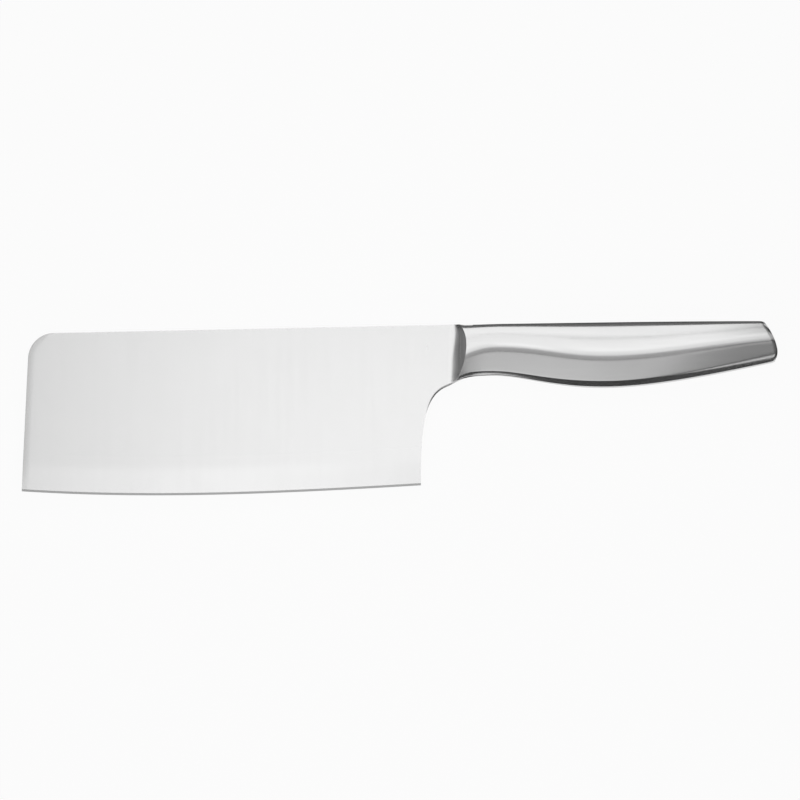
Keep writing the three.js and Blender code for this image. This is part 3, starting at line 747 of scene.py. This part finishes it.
def grind_tree(sizes, materials):
    """Geometry tree that gives the flat blank its thickness by rule, mirrors it and closes its rim."""
    tree = bpy.data.node_groups.new("Grind Blade", "GeometryNodeTree")
    new_socket(tree, "Geometry", "INPUT", "Geometry")
    for name in sizes:
        new_socket(tree, name, "INPUT", "Float")
    for name in materials:
        new_socket(tree, name, "INPUT", "Material")
    new_socket(tree, "Geometry", "OUTPUT", "Geometry")
    given = add(tree, "NodeGroupInput").outputs

    def sums(operation, *values):
        return calc(tree, operation, *values)

    def made(kind, values=None, **settings):
        return add(tree, "GeometryNode" + kind, values, **settings).outputs[0]

    def measure(name):
        return made("InputNamedAttribute", {"Name": name}, data_type="FLOAT")

    def note(geometry, name, value, domain):
        values = {"Geometry": geometry, "Name": name, "Value": value}
        return made("StoreNamedAttribute", values, data_type="FLOAT", domain=domain)

    # Side of the blade: flat, then the grind, then the bevel
    height = measure("edge_height")
    rise = sums("SUBTRACT", given["Half Thickness"], given["Bevel Half"])
    run = sums("SUBTRACT", given["Knee Height"], given["Bevel Height"])
    above_bevel = sums("SUBTRACT", height, given["Bevel Height"])
    grind = sums("MULTIPLY_ADD", above_bevel, sums("DIVIDE", rise, run), given["Bevel Half"])
    side = sums("SMOOTH_MIN", grind, given["Half Thickness"], given["Knee Softness"])
    bevel_rise = sums("SUBTRACT", given["Bevel Half"], given["Edge Half"])
    bevel_slope = sums("DIVIDE", bevel_rise, given["Bevel Height"])
    side = sums("MINIMUM", side, sums("MULTIPLY_ADD", height, bevel_slope, given["Edge Half"]))

    # Scoop that climbs from the side to the crest
    along = sums("MAXIMUM", measure("scoop_share"), 0.0)
    climb = sums("POWER", along, measure("scoop_power"))
    scoop = sums("MULTIPLY_ADD", climb, measure("scoop_lift"), side)
    body = sums("SMOOTH_MIN", scoop, measure("handle_half"), given["Crest Softness"])

    # Rim that falls away softly
    inset = sums("SUBTRACT", 1.0, sums("MINIMUM", measure("rim_inset"), 1.0))
    fall = sums("MULTIPLY", sums("POWER", inset, given["Rim Power"]), measure("rim_fall"))
    body = sums("MULTIPLY", body, sums("SUBTRACT", 1.0, fall))

    # The two sides, and the rim between them
    kept = note(given["Geometry"], "half_here", body, "POINT")
    place = add(tree, "ShaderNodeSeparateXYZ", {0: made("InputPosition")}).outputs
    half_here = measure("half_here")
    upper = sums("ADD", given["Middle Plane"], half_here)
    lower = sums("SUBTRACT", given["Middle Plane"], half_here)
    up = add(tree, "ShaderNodeCombineXYZ", {0: place[0], 1: place[1], 2: upper}).outputs[0]
    down = add(tree, "ShaderNodeCombineXYZ", {0: place[0], 1: place[1], 2: lower}).outputs[0]
    left = made("SetPosition", {"Geometry": kept, "Position": up})
    right = made("FlipFaces", {"Mesh": made("SetPosition", {"Geometry": kept, "Position": down})})
    beside = made("InputMeshEdgeNeighbors")
    alone = add(tree, "FunctionNodeCompare", {2: beside, 3: 1}, data_type="INT", operation="EQUAL")
    border = {"Mesh": left, "Selection": alone.outputs[0], "Offset Scale": 0.0}
    rim = add(tree, "GeometryNodeExtrudeMesh", border, mode="EDGES").outputs
    walled = made("SetPosition", {"Geometry": rim["Mesh"], "Selection": rim["Top"], "Position": down})
    joined = add(tree, "GeometryNodeJoinGeometry")
    tree.links.new(walled, joined.inputs[0])
    tree.links.new(right, joined.inputs[0])
    welded = made("MergeByDistance", {"Geometry": joined.outputs[0], "Distance": WELD_GAP})

    # Bevel faces are marked for the finish, and the bevel line and hard corners stay crisp
    marked = note(welded, "ground_bevel", sums("LESS_THAN", height, given["Bevel Height"]), "FACE")
    smooth = made("SetShadeSmooth", {0: marked, "Shade Smooth": True}, domain="FACE")
    hard = sums("GREATER_THAN", made("InputMeshEdgeAngle"), given["Sharp Angle"])
    line = sums("LESS_THAN", sums("ABSOLUTE", above_bevel), LINE_GAP)
    crisp = {0: smooth, "Selection": sums("MAXIMUM", hard, line), "Shade Smooth": False}
    whole = made("RealizeInstances", {0: made("SetShadeSmooth", crisp, domain="EDGE")})
    satin = made("SetMaterial", {"Geometry": whole, "Material": given["Blade Material"]})
    bolster = {
        "Geometry": satin,
        "Selection": sums("GREATER_THAN", along, 1.0),
        "Material": given["Bolster Material"],
    }
    add(tree, "NodeGroupOutput", {0: made("SetMaterial", bolster)})
    return tree


def add_tang(piece):
    """Joins the frame's own spigot and tang to the back of the bolster."""
    hidden = bmesh.new()
    hidden.from_mesh(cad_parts["blade"].data)
    bmesh.ops.remove_doubles(hidden, verts=hidden.verts, dist=WELD_GAP)
    cut = bmesh.ops.bisect_plane(
        hidden,
        geom=[*hidden.verts, *hidden.edges, *hidden.faces],
        plane_co=(SHELL_LOW.x + TANG_GAP, 0, 0),
        plane_no=(1, 0, 0),
        clear_inner=True,
    )
    rim = [e for e in cut["geom_cut"] if isinstance(e, bmesh.types.BMEdge)]
    bmesh.ops.holes_fill(hidden, edges=rim)
    for vertex in {v for e in rim for v in e.verts}:
        vertex.co.x -= TANG_LAP
    bmesh.ops.recalc_face_normals(hidden, faces=hidden.faces)
    tang = bpy.data.meshes.new("tang")
    hidden.to_mesh(tang)
    hidden.free()
    whole = bmesh.new()
    whole.from_mesh(piece.data)
    bmesh.ops.dissolve_degenerate(whole, dist=WELD_GAP, edges=whole.edges)
    whole.from_mesh(tang)
    whole.to_mesh(piece.data)
    whole.free()
    bpy.data.meshes.remove(tang)


class CLEAVER_OT_grind_blade(Operator):
    """Makes the blade with its grind, bevel, scooped bolster and hidden tang"""

    bl_idname = "cleaver.grind_blade"
    bl_label = "Grind Blade"

    def execute(self, context):
        blade = context.scene.cleaver_blade
        finish = context.scene.cleaver_finish
        profile = Profile(blade, context.scene.cleaver_handle)
        points, faces, measures = blade_blank(profile)
        piece = new_piece("blade_and_bolster", points, faces)
        for name, values in measures.items():
            layer = piece.data.attributes.new(name, "FLOAT", "POINT")
            layer.data.foreach_set("value", values.astype(np.float32))
        sizes = {
            "Half Thickness": profile.half,
            "Knee Height": blade.grind_knee,
            "Knee Softness": blade.grind_blend,
            "Bevel Height": blade.bevel_height,
            "Bevel Half": blade.bevel_thickness / 2,
            "Edge Half": blade.edge_thickness / 2,
            "Crest Softness": blade.crest_round,
            "Rim Power": blade.rim_power,
            "Middle Plane": SHELL_LOW.z,
            "Sharp Angle": SHARP_ANGLE,
        }
        materials = {"Blade Material": blade_steel(finish), "Bolster Material": handle_steel(finish)}
        run_tree(piece, grind_tree(sizes, materials), {**sizes, **materials})
        for name in (*measures, "half_here"):
            piece.data.attributes.remove(piece.data.attributes[name])
        add_tang(piece)
        settle(piece, "blade_steel", "blade")
        return {"FINISHED"}


# Handle


def polish(piece, finish, node):
    """Gives a piece of the handle its steel, smooth faces, crisp edges and place in the frame."""
    piece.data.materials.append(handle_steel(finish))
    piece.data.shade_smooth()
    piece.data.set_sharp_from_angle(angle=SHARP_ANGLE)
    settle(piece, "handle_steel", node)


def grid_faces(rows, columns, first, flip):
    """Four-sided faces over a grid of points."""
    faces = []
    for r in range(rows - 1):
        for c in range(columns - 1):
            a = first + r * columns + c
            face = (a, a + 1, a + columns + 1, a + columns)
            faces.append(face[::-1] if flip else face)
    return faces


def make_shell(profile, name, side):
    """Pressed half shell: its outer skin, its inner wall and the edges between them."""
    stations = np.linspace(profile.seam, profile.cap_seam, SHELL_STATIONS + 1)
    outer = []
    inner = []
    for x in stations:
        section = profile.half_section(x)
        for skin, line in ((outer, section), (inner, drawn_in(section, profile.handle.wall))):
            skin.append(np.column_stack((np.full(len(line), x), line[:, 1], side * line[:, 0])))
    rows = len(stations)
    columns = len(outer[0])
    count = rows * columns
    flip = side < 0
    faces = grid_faces(rows, columns, 0, flip) + grid_faces(rows, columns, count, not flip)
    border = list(range(columns))
    border += [r * columns + columns - 1 for r in range(1, rows)]
    border += [(rows - 1) * columns + c for c in range(columns - 2, -1, -1)]
    border += [r * columns for r in range(rows - 2, 0, -1)]
    for a, b in zip(border, border[1:] + border[:1]):
        face = (b, a, a + count, b + count)
        faces.append(face[::-1] if flip else face)
    return new_piece(name, np.vstack((*outer, *inner)), faces)


class CLEAVER_OT_press_shells(Operator):
    """Makes the two half shells that are welded into the hollow handle"""

    bl_idname = "cleaver.press_shells"
    bl_label = "Press Shells"

    def execute(self, context):
        profile = Profile(context.scene.cleaver_blade, context.scene.cleaver_handle)
        for name, side in (("handle_shell_left", 1), ("handle_shell_right", -1)):
            polish(make_shell(profile, name + "_polished", side), context.scene.cleaver_finish, name)
        return {"FINISHED"}


def cap_loops(profile):
    """Closed loops of the butt cap, from the front of its spigot to the rim of the butt face."""
    size = profile.handle
    seam = profile.cap_seam
    stations = np.linspace(seam, size.length, CAP_STATIONS + 1)
    sections = np.array([profile.half_section(x) for x in stations])
    columns = np.arange(sections.shape[1])

    def running_on(place):
        """Section whose every point is taken at its own distance along the handle."""
        section = sections[-1]
        for _ in range(SETTLE_ROUNDS):
            x = place(section[:, 1])
            along = (x - seam) / size.cap_length * CAP_STATIONS
            low = np.clip(along.astype(int), 0, CAP_STATIONS - 1)
            part = (along - low)[:, None]
            section = sections[low, columns] * (1 - part) + sections[low + 1, columns] * part
        return x, section

    def loop(x, section):
        left = np.column_stack((np.broadcast_to(x, len(section)), section[:, 1], section[:, 0]))
        right = left[1:-1][::-1] * (1, 1, -1)
        return np.vstack((left, right))

    spigot = drawn_in(sections[0], size.wall + size.fit)
    loops = [loop(seam - size.cap_spigot, spigot), loop(seam, spigot)]
    for part in np.linspace(0, 1, CAP_STATIONS + 1):
        x, section = running_on(lambda y: seam + part * (profile.butt(y) - size.butt_edge - seam))
        loops.append(loop(x, section))
    for part in np.linspace(0, 1, BUTT_EDGE_STEPS + 1)[1:]:
        x, section = running_on(lambda y: profile.butt(y) - size.butt_edge * (1 - part))
        loops.append(loop(x, drawn_in(section, size.butt_fall * part**size.butt_power)))
    return np.array(loops)


class CLEAVER_OT_close_butt(Operator):
    """Makes the solid cap that closes the end of the handle"""

    bl_idname = "cleaver.close_butt"
    bl_label = "Close Butt"

    def execute(self, context):
        profile = Profile(context.scene.cleaver_blade, context.scene.cleaver_handle)
        loops = cap_loops(profile)
        count = loops.shape[1]
        faces = []
        for s in range(len(loops) - 1):
            for i in range(count):
                j = (i + 1) % count
                faces.append((s * count + i, s * count + j, (s + 1) * count + j, (s + 1) * count + i))
        last = (len(loops) - 1) * count
        for a in range(1, count // 2):
            b = a + 1
            mirror_a = (count - a) % count
            mirror_b = (count - b) % count
            faces.append((last + a, last + b, last + mirror_b, last + mirror_a))
            faces.append((a, mirror_a, mirror_b, b))
        faces.append((last, last + 1, last + count - 1))
        faces.append((0, count - 1, 1))

        # Faces on the middle line name a corner twice
        faces = [tuple(dict.fromkeys(face)) for face in faces]
        piece = new_piece("butt_cap_polished", loops.reshape(-1, 3), [f for f in faces if len(f) > 2])
        polish(piece, context.scene.cleaver_finish, "butt_cap")
        return {"FINISHED"}


# Finishes

# Clouds and lines in the metals
FINE_LINES = {"Detail": 3.0, "Roughness": 0.7}
BROAD_LINES = {"Detail": 1.0, "Roughness": 0.5}
SMUDGES = {"Detail": 4.0, "Roughness": 0.55, "Distortion": 0.6}
SMUDGE_RANGE = {1: 0.35, 2: 0.75, 3: 0.0, 4: 1.0}
SMUDGE_SCALE = 38.0

# How far lines and smudges change the roughness, and how strongly the lines stand out
LINE_ROUGHNESS = 0.04
SMUDGE_ROUGHNESS = 0.02
LINE_RELIEF = 0.25

# Belt and lathe marks: stretch along x, y and z, scales of fine and broad lines, contrast, depth
BLADE_LINES = ((1.0, 0.04, 0.2), 5200.0, 420.0, 0.03, 0.003 * MM)
HANDLE_LINES = ((0.03, 1.0, 0.12), 4200.0, 520.0, 0.06, 0.003 * MM)
RIVET_LINES = ((1.0, 1.0, 0.2), 3000.0, 700.0, 0.08, 0.006 * MM)


def noise(tree, place, scale, settings):
    """Value of a cloudy pattern."""
    values = {"Vector": place, "Scale": scale, **settings}
    return add(tree, "ShaderNodeTexNoise", values).outputs[0]


def object_place(tree):
    """Place on the piece, in the piece's own measure."""
    return add(tree, "ShaderNodeTexCoord").outputs["Object"]


def shader_group(name, inputs, outputs, draw):
    """Shader group with named sockets, drawn once and then shared."""
    tree = bpy.data.node_groups.get(name)
    if tree is None:
        tree = bpy.data.node_groups.new(name, "ShaderNodeTree")
        for label, kind in inputs.items():
            new_socket(tree, label, "INPUT", kind)
        for label in outputs:
            new_socket(tree, label, "OUTPUT", "Float")
        given = add(tree, "NodeGroupInput").outputs
        add(tree, "NodeGroupOutput", draw(tree, given, object_place(tree)))
    return tree


def draw_lines(tree, given, place):
    """Fine lines left by the polishing belt, long one way and narrow the other."""
    stretched = {0: place, 1: given["Stretch"]}
    drawn = add(tree, "ShaderNodeVectorMath", stretched, operation="MULTIPLY").outputs[0]
    return {
        "Fine": noise(tree, drawn, given["Fineness"], FINE_LINES),
        "Broad": noise(tree, drawn, given["Broadness"], BROAD_LINES),
    }


def draw_marks(tree, given, place):
    """Soft smudges left by handling and wiping."""
    cloud = noise(tree, place, given["Scale"], SMUDGES)
    return {"Marks": add(tree, "ShaderNodeMapRange", {0: cloud, **SMUDGE_RANGE}).outputs[0]}


def new_material(name):
    """Empty material, its tree and its shader."""
    material = bpy.data.materials.new(name)
    material.use_nodes = True
    return material, material.node_tree, material.node_tree.nodes["Principled BSDF"]


def tint(tree, factor, first, second):
    """Mix of two colours."""
    return add(tree, "ShaderNodeMix", {0: factor, 6: first, 7: second}, data_type="RGBA").outputs[2]


def opaque(values, level=1.0):
    """Colour setting as a shader colour, brightened or darkened."""
    return (*(v * level for v in values), 1.0)


def dress(tree, shader, base, roughness, bump, metallic):
    """Joins a surface to its shader."""
    for key, value in (("Base Color", base), ("Roughness", roughness), ("Normal", bump)):
        tree.links.new(value, shader.inputs[key])
    shader.inputs["Metallic"].default_value = metallic


def steel_surface(tree, steel, rough, stretch, fineness, broadness, contrast, depth):
    """Colour, roughness and fine relief of belt-polished steel."""
    sockets = {"Fineness": "Float", "Broadness": "Float", "Stretch": "Vector"}
    group = shader_group("Polish Lines", sockets, ("Fine", "Broad"), draw_lines)
    values = {"Fineness": fineness, "Broadness": broadness, "Stretch": stretch}
    lines = add(tree, "ShaderNodeGroup", node_tree=group)
    for key, value in values.items():
        lines.inputs[key].default_value = value
    group = shader_group("Handling Marks", {"Scale": "Float"}, ("Marks",), draw_marks)
    marks = add(tree, "ShaderNodeGroup", node_tree=group)
    marks.inputs["Scale"].default_value = SMUDGE_SCALE
    fine = lines.outputs["Fine"]
    shade_by = calc(tree, "MULTIPLY", calc(tree, "ADD", fine, lines.outputs["Broad"]), 0.5)
    base = tint(tree, shade_by, opaque(steel, 1 - contrast), opaque(steel, 1 + contrast))
    roughness = calc(tree, "MULTIPLY_ADD", fine, LINE_ROUGHNESS, rough - LINE_ROUGHNESS / 2)
    roughness = calc(tree, "MULTIPLY_ADD", marks.outputs["Marks"], SMUDGE_ROUGHNESS, roughness)
    relief = {"Strength": LINE_RELIEF, "Distance": depth, "Height": fine}
    return base, roughness, add(tree, "ShaderNodeBump", relief).outputs[0]


def blade_steel(finish):
    """Satin steel of the blade, with the coarser ground bevel along its edge."""
    material, tree, shader = new_material("blade_satin_steel")
    base, roughness, bump = steel_surface(tree, finish.blade_steel, finish.blade_rough, *BLADE_LINES)
    bevel = add(tree, "ShaderNodeAttribute", attribute_name="ground_bevel").outputs["Fac"]
    base = tint(tree, bevel, base, opaque(finish.bevel_steel))
    change = calc(tree, "SUBTRACT", finish.bevel_rough, roughness)
    roughness = calc(tree, "MULTIPLY_ADD", change, bevel, roughness)
    dress(tree, shader, base, roughness, bump, 1.0)
    return material


def handle_steel(finish):
    """Polished steel of the handle, with faint lines along it; made once and then shared."""
    name = "handle_polished_steel"
    if name in bpy.data.materials:
        return bpy.data.materials[name]
    material, tree, shader = new_material(name)
    surface = steel_surface(tree, finish.handle_steel, finish.handle_rough, *HANDLE_LINES)
    dress(tree, shader, *surface, 1.0)
    return material


def rivet_steel(finish):
    """Turned steel with rings about the rivet's axis left by the lathe."""
    material, tree, shader = new_material("rivet_turned_steel")
    surface = steel_surface(tree, finish.rivet_steel, finish.rivet_rough, *RIVET_LINES)
    dress(tree, shader, *surface, 1.0)
    return material


def grained(name, tone, grain, cloud, tones, rough, relief, metallic):
    """Moulded or cast surface: a cloudy colour under an even grain."""
    material, tree, shader = new_material(name)
    place = object_place(tree)
    grain = noise(tree, place, *grain)
    cloud = noise(tree, place, *cloud)
    base = tint(tree, cloud, opaque(tone, tones[0]), opaque(tone, tones[1]))
    roughness = calc(tree, "MULTIPLY_ADD", grain, rough[1], rough[0])
    bump = add(tree, "ShaderNodeBump", {**relief, "Height": grain}).outputs[0]
    dress(tree, shader, base, roughness, bump, metallic)
    return material


def core_plastic(finish):
    """Moulded dark plastic with a fine even grain."""
    return grained(
        "core_moulded_plastic",
        finish.core_plastic,
        grain=(2600.0, {"Detail": 2.0}),
        cloud=(60.0, {"Detail": 2.0}),
        tones=(0.8, 1.25),
        rough=(0.5, 0.2),
        relief={"Strength": 0.4, "Distance": 0.03 * MM},
        metallic=0.0,
    )


def weight_iron(finish):
    """Cast iron with the sandy skin of its mould."""
    return grained(
        "weight_cast_iron",
        finish.weight_iron,
        grain=(1500.0, {"Detail": 5.0}),
        cloud=(180.0, {"Detail": 3.0}),
        tones=(0.7, 1.3),
        rough=(0.5, 0.3),
        relief={"Strength": 0.7, "Distance": 0.08 * MM},
        metallic=0.8,
    )


class CLEAVER_OT_finish_inside(Operator):
    """Gives the pieces inside the handle their plastic, steel and iron"""

    bl_idname = "cleaver.finish_inside"
    bl_label = "Finish Inside"

    def execute(self, context):
        finish = context.scene.cleaver_finish
        dressed = (
            (core_plastic(finish), ("handle_core_left", "handle_core_right")),
            (rivet_steel(finish), ("tang_rivet_front", "tang_rivet_rear")),
            (weight_iron(finish), ("balance_weight",)),
        )
        for material, names in dressed:
            for name in names:
                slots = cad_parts[name].data.materials
                slots.clear()
                slots.append(material)
        return {"FINISHED"}


# Stage

# Overhead boxes: left, right, front and rear edges in metres, brightness
OVERHEAD_HEIGHT = 0.62
OVERHEAD_BOXES = (
    ("handle_box", 0.055, 0.15, -0.12, 0.074, 1.27),
    ("handle_rear_box", 0.15, 0.24, -0.12, 0.083, 1.25),
    ("handle_end_box", 0.24, 0.31, -0.12, 0.0, 1.18),
    ("handle_corner_box", 0.24, 0.30, 0.0, 0.10, 0.82),
    ("handle_front_box", 0.0, 0.33, -0.29, -0.12, 1.04),
    ("front_end_box", 0.27, 0.38, -0.42, -0.29, 0.72),
    ("blade_box", -0.13, 0.055, -0.12, 0.085, 1.17),
    ("grind_box", -0.13, 0.0, -0.21, -0.12, 1.48),
    ("toe_box", -0.25, -0.13, -0.12, 0.085, 1.0),
    ("toe_grind_box", -0.25, -0.13, -0.21, -0.12, 1.32),
    ("front_box", -0.25, 0.0, -0.29, -0.21, 1.05),
    ("left_box", -0.45, -0.25, -0.29, 0.085, 0.56),
    ("far_left_box", -0.60, -0.45, -0.29, 0.085, 0.33),
    ("right_box", 0.34, 0.85, -0.29, 0.085, 0.50),
    ("dim_front_box", -0.30, 0.27, -0.52, -0.29, 0.40),
)

# Side boxes about the handle: left and right edges in metres, tilt and spread in degrees, brightness
SIDE_DISTANCE = 0.78
HANDLE_LINE = 0.024
SIDE_BOXES = (
    ("rear_box", -0.30, 0.24, 25.5, 39, 1.20),
    ("rear_end_box", 0.24, 0.30, 25.5, 39, 0.82),
    ("rear_dim_box", -0.30, 0.30, 60, 30, 0.13),
    ("side_card", -0.42, 0.13, -55, 22, 0.82),
    ("side_middle_card", 0.13, 0.18, -55, 22, 0.75),
    ("side_end_card", 0.18, 0.215, -55, 22, 0.69),
    ("neck_card", 0.215, 0.305, -47.75, 2.5, 0.88),
    ("middle_card", 0.215, 0.31, -53.5, 9, 0.36),
    ("right_card", 0.31, 0.335, -52, 12, 0.34),
    ("dim_card", 0.335, 0.42, -53, 14, 0.235),
    ("roll_card", 0.215, 0.33, -43.25, 6.5, 0.38),
    ("roll_end_card", 0.33, 0.40, -42.5, 7, 0.55),
    ("edge_card", 0.42, 0.75, -48, 24, 0.10),
    ("low_card", 0.30, 0.50, -68.5, 7, 0.95),
)

# Corner boxes about the middle of the floor: heading and rise in degrees, height in metres, brightness
CORNER_DISTANCE = 1.3
CORNER_WIDTH = 0.55
CORNER_BOXES = (
    ("rear_right_box", 45, 35, 0.70, 0.70),
    ("rear_left_box", 135, 35, 0.70, 0.70),
    ("left_end_box", 180, 35, 0.70, 0.25),
    ("left_low_box", 180, 9.5, 0.48, 0.14),
    ("front_left_box", 225, 35, 0.70, 0.70),
)

# Paper of the floor, and how far the camera sees in metres
FIBRE_SCALE = 900.0
FIBRE = {"Detail": 3.0}
FIBRE_TONES = (0.99, 1.01)
PAPER_ROUGHNESS = 0.9
SIGHT = 100


def add_lamp(name, place, target, width, depth, brightness):
    """Soft box that faces a point; brightness is what a mirror would show of it."""
    data = bpy.data.lights.new(name, "AREA")
    data.shape = "RECTANGLE"
    data.size = width
    data.size_y = depth
    data.energy = brightness * width * depth * math.pi
    lamp = bpy.data.objects.new(name, data)
    lamp.location = place
    lamp.rotation_euler = (target - place).to_track_quat("-Z", "Y").to_euler()
    bpy.context.scene.collection.objects.link(lamp)


def hang_lamps():
    """Hangs the soft boxes above, beside and around the knife."""
    for name, west, east, south, north, brightness in OVERHEAD_BOXES:
        place = Vector(((west + east) / 2, (south + north) / 2, OVERHEAD_HEIGHT))
        add_lamp(name, place, place - Vector((0, 0, 1)), east - west, north - south, brightness)
    for name, west, east, tilt, spread, brightness in SIDE_BOXES:
        lean = math.radians(tilt)
        reach = Vector((0, math.sin(lean), math.cos(lean))) * SIDE_DISTANCE
        target = Vector(((west + east) / 2, HANDLE_LINE, 0))
        depth = 2 * SIDE_DISTANCE * math.tan(math.radians(spread / 2))
        add_lamp(name, target + reach, target, east - west, depth, brightness)
    for name, heading, rise, height, brightness in CORNER_BOXES:
        turn = math.radians(heading)
        lift = math.radians(rise)
        flat = math.cos(lift)
        way = Vector((math.cos(turn) * flat, math.sin(turn) * flat, math.sin(lift)))
        add_lamp(name, way * CORNER_DISTANCE, Vector(), CORNER_WIDTH, height, brightness)


def floor_material(stage):
    """Pale paper that keeps the knife's shadow and looks white, to the camera and in the steel."""
    material, tree, shader = new_material("floor_paper")
    fibre = noise(tree, object_place(tree), FIBRE_SCALE, FIBRE)
    paper = tint(tree, fibre, *(opaque(stage.floor_paper, tone) for tone in FIBRE_TONES))
    tree.links.new(paper, shader.inputs["Base Color"])
    shader.inputs["Roughness"].default_value = PAPER_ROUGHNESS
    shader.inputs["Specular IOR Level"].default_value = 0.0
    white = add(tree, "ShaderNodeEmission", {"Color": (1, 1, 1, 1), "Strength": 1.0}).outputs[0]
    path = add(tree, "ShaderNodeLightPath").outputs
    mirrored = calc(tree, "MAXIMUM", path["Is Glossy Ray"], path["Is Transmission Ray"])
    seen = calc(tree, "MAXIMUM", path["Is Camera Ray"], mirrored)
    part = calc(tree, "MULTIPLY", seen, stage.floor_white)
    mixed = add(tree, "ShaderNodeMixShader", {0: part, 1: shader.outputs[0], 2: white}).outputs[0]
    tree.links.new(mixed, tree.nodes["Material Output"].inputs["Surface"])
    return material


def lay_floor(stage):
    """Lays the square of paper under the knife."""
    half = stage.floor_size / 2
    corners = [(x * half, y * half, 0) for x, y in ((-1, -1), (1, -1), (1, 1), (-1, 1))]
    mesh = bpy.data.meshes.new("floor")
    mesh.from_pydata(corners, [], [(0, 1, 2, 3)])
    mesh.materials.append(floor_material(stage))
    floor = bpy.data.objects.new("floor", mesh)
    bpy.context.scene.collection.objects.link(floor)


def set_world(stage):
    """Plain grey room around the lamps."""
    world = bpy.data.worlds.new("studio")
    world.use_nodes = True
    bpy.context.scene.world = world
    background = world.node_tree.nodes["Background"]
    background.inputs["Color"].default_value = opaque(stage.room_grey)
    background.inputs["Strength"].default_value = 1.0


def set_camera(scene, stage):
    """Camera straight above the knife, at the distance where the picture covers its width."""
    data = bpy.data.cameras.new("camera")
    data.lens = stage.lens
    data.clip_end = SIGHT
    camera = bpy.data.objects.new("camera", data)
    distance = stage.picture_width * stage.lens / data.sensor_width
    crest = knife_origin(scene.cleaver_blade, scene.cleaver_handle)
    blade_side = crest[2] + scene.cleaver_blade.thickness / 2
    camera.location = (crest[0] - stage.aim_along, crest[1] - stage.aim_down, blade_side + distance)
    scene.collection.objects.link(camera)
    scene.camera = camera


class CLEAVER_OT_set_stage(Operator):
    """Sets the paper floor, the soft boxes, the room and the camera"""

    bl_idname = "cleaver.set_stage"
    bl_label = "Set Stage"

    def execute(self, context):
        stage = context.scene.cleaver_stage
        lay_floor(stage)
        set_world(stage)
        hang_lamps()
        set_camera(context.scene, stage)
        context.scene.view_settings.view_transform = "Standard"
        return {"FINISHED"}


# Sidebar

SETTINGS = {
    "cleaver_blade": BladeSizes,
    "cleaver_handle": HandleSizes,
    "cleaver_finish": Finishes,
    "cleaver_stage": StageSizes,
}
STEPS = (
    CLEAVER_OT_grind_blade,
    CLEAVER_OT_press_shells,
    CLEAVER_OT_close_butt,
    CLEAVER_OT_finish_inside,
    CLEAVER_OT_set_stage,
)


class CLEAVER_PT_panel(Panel):
    """Steps and settings of the cleaver"""

    bl_idname = "CLEAVER_PT_panel"
    bl_label = "Cleaver"
    bl_space_type = "VIEW_3D"
    bl_region_type = "UI"
    bl_category = "Cleaver"

    def draw(self, context):
        column = self.layout.column()
        for step in STEPS:
            column.operator(step.bl_idname)
        for name, group in SETTINGS.items():
            settings = getattr(context.scene, name)
            column.label(text=group.__doc__)
            for key in group.__annotations__:
                column.prop(settings, key)


def register():
    """Makes the settings, steps and panel known."""
    for group in (*SETTINGS.values(), *STEPS, CLEAVER_PT_panel):
        bpy.utils.register_class(group)
    for name, group in SETTINGS.items():
        setattr(bpy.types.Scene, name, PointerProperty(type=group))


def unregister():
    """Takes the settings, steps and panel away again."""
    for name in SETTINGS:
        delattr(bpy.types.Scene, name)
    for group in reversed((*SETTINGS.values(), *STEPS, CLEAVER_PT_panel)):
        bpy.utils.unregister_class(group)


def main():
    """Builds the whole picture."""
    register()
    bpy.ops.cleaver.grind_blade()
    bpy.ops.cleaver.press_shells()
    bpy.ops.cleaver.close_butt()
    bpy.ops.cleaver.finish_inside()
    bpy.ops.cleaver.set_stage()


if __name__ == "__main__":
    main()
